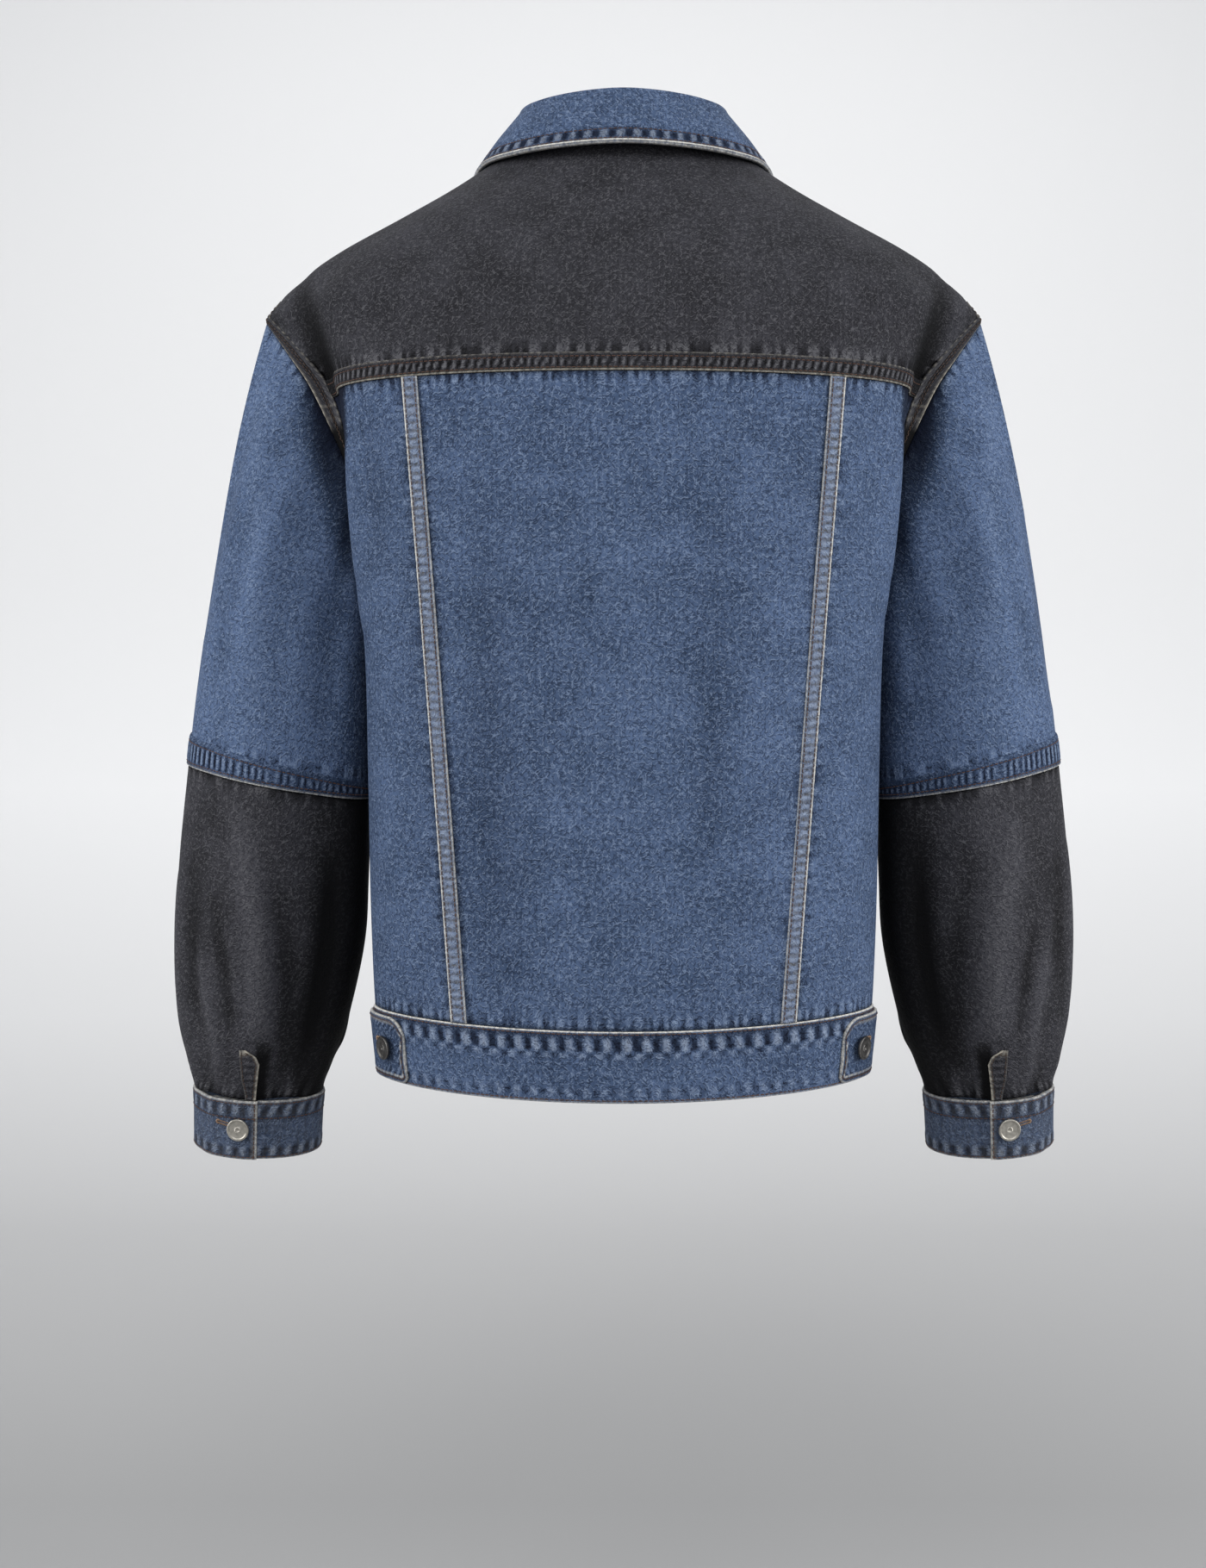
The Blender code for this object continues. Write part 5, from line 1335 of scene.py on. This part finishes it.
def waistband():
    over = DOUBLED + SEAM_GAP
    near_x, far_x = FRONT_OVERLAP, 0.034
    at = [float(across_at(FRONT, 0.5, x)) for x in (near_x, far_x)]
    # Turns go once round: 0 is the middle of the front, 1 the left side, 2 the back, 3 the right side.
    turns = np.concatenate((np.linspace(-at[0], at[0], 12), np.linspace(at[0], at[1], 6)[1:],
                            np.linspace(at[1], 4 + at[0], 900)[1:]))
    lifts = np.interp(turns, [-at[0], at[0], at[1], 4 + at[0]], [over, over, 0, 0])

    def point(level, turn, lift):
        turned = (turn + 1) % 4 - 1
        face = np.where(np.abs(turned) <= 1, FRONT, BACK)
        across = np.where(np.abs(turned) <= 1, turned, 2 - turned)
        front = on_body(FRONT, level, np.broadcast_to(np.where(face == FRONT, across, 1.0),
                                                      (len(level), len(turn))))
        back = on_body(BACK, level, np.broadcast_to(np.where(face == BACK, across, 1.0),
                                                    (len(level), len(turn))))
        ahead = (face == FRONT)[None, :, None]
        points = np.where(ahead, front.points, back.points)
        normals = np.where(ahead, front.normals, back.normals)
        return points + (BAND_PROUD + lift)[None, :, None] * normals, normals

    middle, _ = point(np.array([0.4, 0.5]), turns, lifts)
    run = run_lengths(middle, 1)[0]
    places = shares(run[-1], 1.6 * BAND_GRID, 0.0010) * run[-1]
    turns, lifts = np.interp(places, run, turns), np.interp(places, run, lifts)
    levels = LEVEL["hem"] + (BAND_TOP - LEVEL["hem"]) * shares(BAND_HEIGHT, BAND_GRID, 0.0010)
    points, normals = point(levels, turns, lifts)
    plain = Cloth(points, normals)
    inset = np.minimum(plain.foot, plain.top)
    wave = puckers(plain.left, 121, 0.0125)
    other = puckers(plain.left + 0.003, 131, 0.0115)
    upper, lower = np.clip(1.7 * near(plain.top - 0.0092, 0.0038), 0, 1), near(plain.foot - 0.0070, 0.0030)
    beneath = near(plain.top - 0.0150, 0.0022)
    sunk = near(inset - STITCH_INSET, 0.0006)
    drawn = wave * upper - 0.6 * wave * beneath + 0.35 * other * lower
    relief = 0.00055 * drawn - 0.0003 * sunk + rolled(inset, DOUBLED)
    marks = {
        # Crests paler as rubbed cloth with a painted highlight, painted shadow between them and in the sunk
        # rows; painted shade in a band below the top edge and over the upper puckers.
        "crest": np.clip(2.0 * drawn, -0.85, 0.8) - 0.5 * sunk,
        "worn": 1.4 * near(plain.top, 0.0006) + 0.6 * near(plain.foot, 0.0010)
        + 0.15 * np.clip(drawn, 0, 1),
        "shade": 0.05 - 0.40 * near(plain.top - 0.0032, 0.0020) - 0.10 * upper,
    }
    cloth = plain.moved(relief)
    piece = sew("waistband_cloth", cloth, DOUBLED, BLUE, marks)
    stitches = topstitch("waistband_stitches",
                         [cloth.line(STITCH_INSET, way) for way in ("foot", "top", "left")])
    fit(piece, "waistband")


waistband()

# ----------------------------------------------------------------------------- waist tabs
# A short strap lies over the waistband at each side and is buttoned to it behind. Its free end
# is rounded above and its edges are rubbed pale round a row of topstitching.
TAB_END_X, TAB_LOW, TAB_HIGH = 0.1445, 0.03, 0.88
TAB_CLOTH = 0.0021
TAB_LIFT = BAND_PROUD + TAB_CLOTH + 1.5 * SEAM_GAP
TAB_ROUND = 0.016  # radius of the upper corner of the free end


def waist_tabs():
    start = float(across_at(BACK, 0.5, TAB_END_X))
    fine = np.linspace(start, 1, 300)
    run = run_lengths(body_form(BACK, 0.42, fine), 0)
    places = np.interp(shares(run[-1], 0.0014, 0.0009) * run[-1], run, fine)
    reach = np.interp(places, fine, run)
    corner = np.clip(1 - reach / TAB_ROUND, 0, 1)
    high = TAB_HIGH + 0.06 - (TAB_ROUND / BAND_HEIGHT) * (1 - np.sqrt(1 - 0.98 * corner**2)) * 0.75
    foot = np.clip(1 - reach / 0.005, 0, 1)
    low = TAB_LOW + (0.005 / BAND_HEIGHT) * (1 - np.sqrt(1 - 0.98 * foot**2))
    rows = shares(0.040, 0.0014, 0.0009)[:, None]
    levels = low[None, :] + (high - low)[None, :] * rows
    for side, name in ((1, "left"), (-1, "right")):
        across = side * places[None, :] + 0 * levels
        normals = body_normal(BACK, levels, across)
        cloth = Cloth(body_form(BACK, levels, across) + TAB_LIFT * normals, normals)
        inset = np.minimum(np.minimum(cloth.foot, cloth.top), cloth.left)
        wave = puckers(cloth.left + cloth.foot, 141 + side, 0.0065)
        drawn = near(inset - 0.0055, 0.003)
        sunk = near(inset - 0.0026, 0.0007)
        marks = {
            # Painted highlight on the drawn-up crests, painted shadow between them and in the sunk row, and
            # the whole tab painted a little darker as shade.
            "crest": 0.7 * wave * drawn - 0.5 * sunk,
            "worn": 1.1 * near(inset, 0.0007) + 0.8 * near(inset - 0.0040, 0.0005),
            "shade": -0.15 - 0.6 * sunk,
        }
        cloth = cloth.moved(0.0003 * wave * drawn - 0.0003 * sunk + rolled(inset, TAB_CLOTH))
        piece = sew(f"waist_tab_{name}_cloth", cloth, TAB_CLOTH, BLUE, marks)
        rows_sewn = [cloth.line(0.0026, way) for way in ("foot", "top", "left")]
        stitches = topstitch(f"waist_tab_{name}_stitches", rows_sewn)
        fit(piece, f"waist_tab_{name}")


waist_tabs()

# -------------------------------------------------------------------------------- collar
# One doubled piece of blue denim: it stands up from the neck seam, rolls over and falls on the
# yoke. Its free edge is a thick rubbed roll with two rows of topstitching above it.
Roll = namedtuple("Roll", "around fold_x fold_y fold_z edge_x edge_y edge_z")
COLLAR_ROLLS = [
    Roll(0.00, 0.0000, 0.0690, 0.0335, 0.0000, 0.0900, -0.0095),
    Roll(0.25, 0.0535, 0.0490, 0.0325, 0.0735, 0.0675, -0.0105),
    Roll(0.50, 0.0715, 0.0040, 0.0325, 0.1065, 0.0030, -0.0082),
    Roll(0.75, 0.0600, -0.0520, 0.0080, 0.1025, -0.0700, -0.0355),
    Roll(1.00, 0.0090, -0.0890, -0.0440, 0.0600, -0.1240, -0.0960),
]
# The row before the first is the second's mirror image, so the roll runs smoothly over the middle.
ROLLS = np.array([COLLAR_ROLLS[1], *COLLAR_ROLLS])
ROLLS[0] *= (-1, -1, 1, 1, -1, 1, 1)
ROLL_RADIUS = 0.0045
COLLAR_FRONT_X = 0.004
COLLAR_ROWS = (0.0030, 0.0100)
COLLAR_CLOTH = 0.0020
COLLAR_GRID = 0.0013


def collar_profile(around):
    """Points from the neck seam up the stand, over the roll and down the fall, at places round it."""
    roll = Roll(*np.moveaxis(spline(ROLLS, 1 + around * (len(COLLAR_ROLLS) - 1)), -1, 0))
    behind = around <= 0.5
    end = float(across_at(FRONT, LEVEL["neck"], COLLAR_FRONT_X))
    back = body_form(BACK, LEVEL["neck"], np.minimum(2 * around, 1))
    ahead = body_form(FRONT, LEVEL["neck"], 1 + (end - 1) * np.clip(around - 0.5, 0, 1) * 2)
    base = np.where(behind[:, None], back, ahead)
    base[:, 2] += 3 * SEAM_GAP + 0.0025 * np.clip(2 * around - 1, 0, 1)
    fold = np.stack((roll.fold_x, roll.fold_y, roll.fold_z), -1)
    edge = np.stack((roll.edge_x, roll.edge_y, roll.edge_z), -1)
    away = edge - base
    away[:, 2] = 0
    away = unit(away)
    up = np.array((0.0, 0.0, 1.0))
    inside = fold - ROLL_RADIUS * away - 1.2 * ROLL_RADIUS * up
    outside = fold + 1.25 * ROLL_RADIUS * away - 1.1 * ROLL_RADIUS * up
    return np.stack((
        base,
        (base + inside) / 2,
        inside,
        fold - 0.6 * ROLL_RADIUS * away - 0.25 * ROLL_RADIUS * up,
        fold + 0.6 * ROLL_RADIUS * away - 0.25 * ROLL_RADIUS * up,
        outside,
        (outside + edge) / 2 + 0.0015 * away,
        edge,
    ))


def collar():
    around = np.concatenate((-np.linspace(1, 0, 241)[:-1], np.linspace(0, 1, 241)))
    shape = collar_profile(np.abs(around))
    shape[..., 0] *= np.where(around < 0, -1, 1)
    stations = np.linspace(0, len(shape) - 1, 400)
    run = run_lengths(spline(shape, stations), 0)[:, len(around) // 2]
    rows = shares(run[-1], COLLAR_GRID, 0.0010) * run[-1]
    points = spline(shape, np.interp(rows, run, stations))
    length = run_lengths(points, 1)[-1]
    columns = shares(length[-1], 1.5 * COLLAR_GRID, 0.0010) * length[-1]
    picks = np.interp(columns, length, np.arange(len(length)))
    points = spline(points.transpose(1, 0, 2), picks).transpose(1, 0, 2)
    up, beside = np.gradient(points, axis=0), np.gradient(points, axis=1)
    normals = unit(np.cross(up, beside))
    if normals[-10, len(columns) // 2] @ np.array((0.0, 1.0, 0.3)) < 0:
        normals = -normals
    cloth = Cloth(points, normals)
    ends = np.minimum(cloth.left, cloth.right)
    inset = np.minimum(cloth.top, ends)
    wave = puckers(cloth.left[-1:] + 0 * inset, 151, 0.0108)
    drawn = np.clip(1.5 * near(inset - 0.0066, 0.0020), 0, 1)
    sunk = near(inset - COLLAR_ROWS[0], 0.0006) + near(inset - COLLAR_ROWS[1], 0.0006)
    roll = np.clip(1 - ((inset - 0.0013) / 0.0013) ** 2, 0, 1)
    relief = 0.00050 * wave * drawn - 0.00040 * sunk + 0.0003 * roll + rolled(inset, COLLAR_CLOTH)
    marks = {
        # Painted highlight on the drawn-up crests, painted shadow between them and in the sunk rows, and
        # painted shade over the drawn-up band and in a thin line inside the rubbed edge.
        "crest": np.clip(2.4 * wave * drawn, -0.8, 0.9) - 0.5 * sunk,
        "worn": 0.8 * near(inset, 0.0003) + 1.5 * near(inset - 0.0015, 0.0007)
        + 0.2 * np.clip(wave * drawn, 0, 1),
        "shade": -0.40 * near(inset - 0.0064, 0.0034) - 0.7 * near(inset - 0.0006, 0.0002),
    }
    cloth = cloth.moved(relief)
    piece = sew("collar_cloth", cloth, COLLAR_CLOTH, BLUE, marks)
    rows = [cloth.line(row, way) for way in ("left", "top", "right") for row in COLLAR_ROWS]
    stitches = topstitch("collar_stitches", rows)
    fit(piece, "collar")


collar()

# -------------------------------------------------------------------------------- buttons
# Tack buttons pressed from steel and plated to a dull pewter: a rounded rim, a sunk field and a
# small dimple where the tack holds. They stand on a short shank over each buttonhole.
BUTTON_RADIUS, BUTTON_HEIGHT, SHANK_RADIUS = 0.0080, 0.0042, 0.0026
BUTTON_SIDES = 48
BUTTON_STEPS = [  # each takes the middle of the face in by so much, and then raises or sinks it
    (0.0003, 0.0004), (0.0011, 0.0), (0.0005, -0.0007), (0.0038, 0.0001), (0.0004, 0.0003),
    (0.0006, 0.0), (0.0004, -0.0006),
]


def pewter_material(name, light, dark, roughness):
    """Tumbled plating: metallic, with soft highlights and a patchy tone."""
    material, tree, shader = plain_material(name, roughness, 0.5)
    shader.inputs["Metallic"].default_value = 1.0
    place = add(tree, "ShaderNodeTexCoord", output="Object")
    patina = add(tree, "ShaderNodeTexNoise", place, Scale=1 / (2.5 * MM), Detail=3.0)
    mixed = add(tree, "ShaderNodeMixRGB", patina, colour(dark), colour(light))
    rough = add(tree, "ShaderNodeMapRange", patina, 0.0, 1.0, roughness - 0.08, roughness + 0.12)
    tree.links.new(mixed, shader.inputs["Base Color"])
    tree.links.new(rough, shader.inputs["Roughness"])
    return material


PEWTER = pewter_material("tumbled_pewter", "d4d0c6", "8e8a82", 0.42)
# The buttons of the waist tabs are the same pewter, painted darker as shade where they sit at the sides.
PEWTER_IN_PAINTED_SHADE = pewter_material("pewter_in_painted_shade", "7c7a78", "3c3a38", 0.40)


def select_faces(mesh, wanted):
    for part in (mesh.vertices, mesh.edges):
        part.foreach_set("select", [False] * len(part))
    for face in mesh.polygons:
        face.select = wanted(face)


def model_button():
    """One button at the origin, facing +Z, modelled as by hand from a flat disc."""
    bpy.ops.object.select_all(action="DESELECT")
    bpy.ops.mesh.primitive_cylinder_add(
        vertices=BUTTON_SIDES, radius=BUTTON_RADIUS, depth=0.0016, location=(0, 0, BUTTON_HEIGHT - 0.0010)
    )
    button = bpy.context.object
    top = BUTTON_HEIGHT - 0.0002

    def on_top(face):
        return face.normal.z > 0.9

    for inset, rise in BUTTON_STEPS:
        select_faces(button.data, lambda face: on_top(face) and face.center.xy.length < 1e-4)
        bpy.ops.object.mode_set(mode="EDIT")
        bpy.ops.mesh.inset(thickness=inset, depth=rise)
        bpy.ops.object.mode_set(mode="OBJECT")
    select_faces(button.data, lambda face: face.normal.z < -0.9)
    bpy.ops.object.mode_set(mode="EDIT")
    bpy.ops.mesh.inset(thickness=BUTTON_RADIUS - SHANK_RADIUS, depth=0.0)
    shank = BUTTON_HEIGHT - 0.0018 - SEAM_GAP
    bpy.ops.mesh.extrude_region_move(TRANSFORM_OT_translate={"value": (0, 0, -shank)})
    bpy.ops.object.mode_set(mode="OBJECT")
    bevel = button.modifiers.new("Soft rim", "BEVEL")
    bevel.width = 0.00025
    bevel.segments = 2
    bevel.limit_method = "ANGLE"
    bevel.angle_limit = radians(25)
    bpy.ops.object.modifier_apply(modifier=bevel.name)
    bpy.ops.object.shade_smooth_by_angle(angle=radians(50))
    bpy.ops.object.transform_apply(location=True)
    return button


def place_button(model, node, point, normal, material, turn=0.0):
    """A copy of the button with its place in its mesh, standing for its node."""
    copy = model.copy()
    copy.data = model.data.copy()
    copy.name = copy.data.name = f"{node}_tack"
    bpy.context.scene.collection.objects.link(copy)
    facing = Vector(normal).normalized().to_track_quat("Z", "Y").to_matrix().to_4x4()
    copy.data.transform(Matrix.Translation(Vector(point)) @ facing @ Matrix.Rotation(turn, 4, "Z"))
    copy.data.materials.clear()
    copy.data.materials.append(material)
    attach(copy, "root")
    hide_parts(node)


def buttonhole(name, middle, way, normal, length, thread):
    """A worked buttonhole: close stitches across both lips of a slit, and round its eye."""
    way, normal = unit(np.asarray(way, float)), unit(np.asarray(normal, float))
    aside = unit(np.cross(normal, way))
    lines = []
    count = int(length / 0.0009)
    for lip in (1, -1):
        for index in range(count):
            along = middle + way * (length * ((index + 0.5) / count - 0.5))
            ends = along + aside * lip * 0.0002, along + aside * lip * 0.0017
            lines.append((np.array([ends[0], (ends[0] + ends[1]) / 2 + normal * 0.0003, ends[1]]),
                          np.tile(normal, (3, 1))))
    for index in range(9):
        turn = pi * (index / 8 - 0.5)
        spoke = way * cos(turn) + aside * sin(turn)
        start = middle + way * length / 2
        ends = start + spoke * 0.0003, start + spoke * 0.0018
        lines.append((np.array([ends[0], (ends[0] + ends[1]) / 2 + normal * 0.0003, ends[1]]),
                      np.tile(normal, (3, 1))))
    piece = topstitch(name, lines, thread, 0.00036, 0.0013, 0.00012)
    return piece


BUTTONHOLE_THREAD = thread_material("ochre_buttonhole_thread", ("6b5040", "a98e74"))
FRONT_BUTTONS = 5
TOP_BUTTON_LEVEL, LOW_BUTTON_LEVEL = LEVEL["shoulder_3"], LEVEL["band_top"] + 0.6
TAB_BUTTON_X, TAB_BUTTON_LEVEL, CUFF_BUTTON_AT = 0.1565, 0.53, 0.272


def buttons():
    model = model_button()
    up = np.array((0.0, 0.0, 1.0))
    proud = BAND_LIFT + 2 * SEAM_GAP
    fine = np.linspace(LEVEL["band_top"], LEVEL["neck"], 4000)
    heights = body_form(FRONT, fine, 0.0)[:, 2]
    high, low = (body_form(FRONT, level, 0.0)[2] for level in (TOP_BUTTON_LEVEL, LOW_BUTTON_LEVEL))
    for number, height in enumerate(np.linspace(high, low, FRONT_BUTTONS), 1):
        level = fine[np.argmin(np.abs(heights - height))]
        point, normal = body_form(FRONT, level, 0.0), body_normal(FRONT, level, 0.0)
        place_button(model, f"front_button_{number}", point + proud * normal, normal, PEWTER, 0.7 * number)
        hole = point + (proud + 0.0003) * normal - np.array((0.006, 0, 0))
        buttonhole(f"front_buttonhole_{number}", hole, (-1, 0, 0), normal, 0.018, BUTTONHOLE_THREAD)
    point, normal = body_form(FRONT, 0.5, 0.0), body_normal(FRONT, 0.5, 0.0)
    lift = BAND_PROUD + DOUBLED + SEAM_GAP
    place_button(model, "waist_button", point + lift * normal, normal, PEWTER, 0.3)
    for side, name in ((1, "left"), (-1, "right")):
        across = side * float(across_at(BACK, TAB_BUTTON_LEVEL, TAB_BUTTON_X))
        point = body_form(BACK, TAB_BUTTON_LEVEL, across)
        normal = body_normal(BACK, TAB_BUTTON_LEVEL, across)
        place_button(model, f"tab_button_{name}", point + TAB_LIFT * normal, normal, PEWTER_IN_PAINTED_SHADE, 0.5)
        outward = unit(np.cross(up, normal)) * -side
        hole = point + (TAB_LIFT + 0.0002) * normal + outward * 0.0080 + up * 0.005
        buttonhole(f"tab_buttonhole_{name}", hole, outward, normal, 0.010, BUTTONHOLE_THREAD)
        middle = (RING["cuff_top"] + RING["cuff_foot"]) / 2
        lift = CUFF_PROUD + DOUBLED + SEAM_GAP
        flip = np.array((side, 1.0, 1.0))
        point = ring_form(middle, CUFF_BUTTON_AT, lift, 0.0) * flip
        normal = unit(ring_form(middle, CUFF_BUTTON_AT, lift + 0.01, 0.0) * flip - point)
        place_button(model, f"cuff_button_{name}", point, normal, PEWTER, 0.9)
        slit = [ring_form(middle + drop, CUFF_BUTTON_AT + at, lift, 0.0) * flip
                for drop, at in ((-0.02, 0.003), (-0.09, 0.063))]
        hole = (slit[0] + slit[1]) / 2 + 0.0003 * normal
        buttonhole(f"cuff_buttonhole_{name}", hole, slit[1] - slit[0], normal, 0.013, BUTTONHOLE_THREAD)
    bpy.data.objects.remove(model)


buttons()

# ------------------------------------------------------------------------------ studio
# A floor that sweeps up into a backdrop, its paper painted darker towards the floor and towards the
# camera as painted shade, broad soft lights on the side of the back, and the camera level with the
# chest. None of it belongs to the jacket.
FLOOR_Z = -1.12
SWEEP_Y, SWEEP_RADIUS, BACKDROP_TOP, HALF_STAGE = -1.7, 1.1, 2.6, 5.0


def backdrop():
    turn = [(SWEEP_Y - SWEEP_RADIUS * sin(a), FLOOR_Z + SWEEP_RADIUS * (1 - cos(a)))
            for a in np.linspace(0, pi / 2, 24)]
    profile = [(4.5, FLOOR_Z)] + turn + [(turn[-1][0], BACKDROP_TOP)]
    points = [(x, y, z) for y, z in profile for x in (-HALF_STAGE, HALF_STAGE)]
    faces = [(2 * i, 2 * i + 1, 2 * i + 3, 2 * i + 2) for i in range(len(profile) - 1)]
    mesh = bpy.data.meshes.new("studio_sweep")
    mesh.from_pydata(points, [], faces)
    paper, tree, shader = plain_material("matt_paper", 0.9, 0.1)
    place = add(tree, "ShaderNodeTexCoord", output="Object")
    height = add(tree, "ShaderNodeSeparateXYZ", place, output="Z")
    depth = add(tree, "ShaderNodeSeparateXYZ", place, output="Y")
    # Painted shade: the paper darkens towards the floor and towards the camera.
    up = add(tree, "ShaderNodeMapRange", height, FLOOR_Z, FLOOR_Z + 0.67, 0.68, 1.0)
    painted_shade_forward = add(tree, "ShaderNodeMapRange", depth, -2.4, -0.5, 1.0, 0.52)
    painted_shade_grade = add(tree, "ShaderNodeMath", up, painted_shade_forward, operation="MULTIPLY")
    tree.links.new(painted_shade_grade, shader.inputs["Base Color"])
    mesh.materials.append(paper)
    mesh.shade_smooth()
    sweep = bpy.data.objects.new("studio_sweep", mesh)
    bpy.context.scene.collection.objects.link(sweep)


Lamp = namedtuple("Lamp", "name x y z aim_z size power")
LAMPS = [
    Lamp("key_softbox", 0.3, 2.6, 1.5, -0.30, 1.6, 36),
    Lamp("left_softbox", 2.2, 0.7, 0.1, -0.35, 1.3, 27),
    Lamp("right_softbox", -2.2, 0.8, 0.1, -0.35, 1.3, 33),
    Lamp("front_softbox", 0.0, -1.4, 2.2, -0.30, 2.0, 22),
]


def studio():
    backdrop()
    for lamp in LAMPS:
        light = bpy.data.lights.new(lamp.name, "AREA")
        light.size = lamp.size
        light.energy = lamp.power
        placed = bpy.data.objects.new(lamp.name, light)
        placed.location = (lamp.x, lamp.y, lamp.z)
        way = Vector((0, 0, lamp.aim_z)) - placed.location
        placed.rotation_euler = way.to_track_quat("-Z", "Y").to_euler()
        bpy.context.scene.collection.objects.link(placed)
    bpy.context.scene.view_settings.view_transform = "Standard"
    world = bpy.data.worlds.new("studio_light")
    bpy.context.scene.world = world
    world.use_nodes = True
    world.node_tree.nodes["Background"].inputs["Color"].default_value = colour("eef0f4")
    world.node_tree.nodes["Background"].inputs["Strength"].default_value = 0.55


studio()

CAMERA_DISTANCE, CAMERA_Z, LENS = 1.5, -0.44, 48.36
PICTURE_HEIGHT, AXIS_ASIDE = 1820, 24  # the jacket stands this many pixels right of the middle
camera_data = bpy.data.cameras.new("camera")
camera_data.lens = LENS
camera_data.sensor_width = 36.0
camera_data.shift_x = -AXIS_ASIDE / PICTURE_HEIGHT
camera = bpy.data.objects.new("camera", camera_data)
camera.location = (0.0, CAMERA_DISTANCE, CAMERA_Z)
camera.rotation_euler = (pi / 2, 0.0, pi)
bpy.context.scene.collection.objects.link(camera)
bpy.context.scene.camera = camera
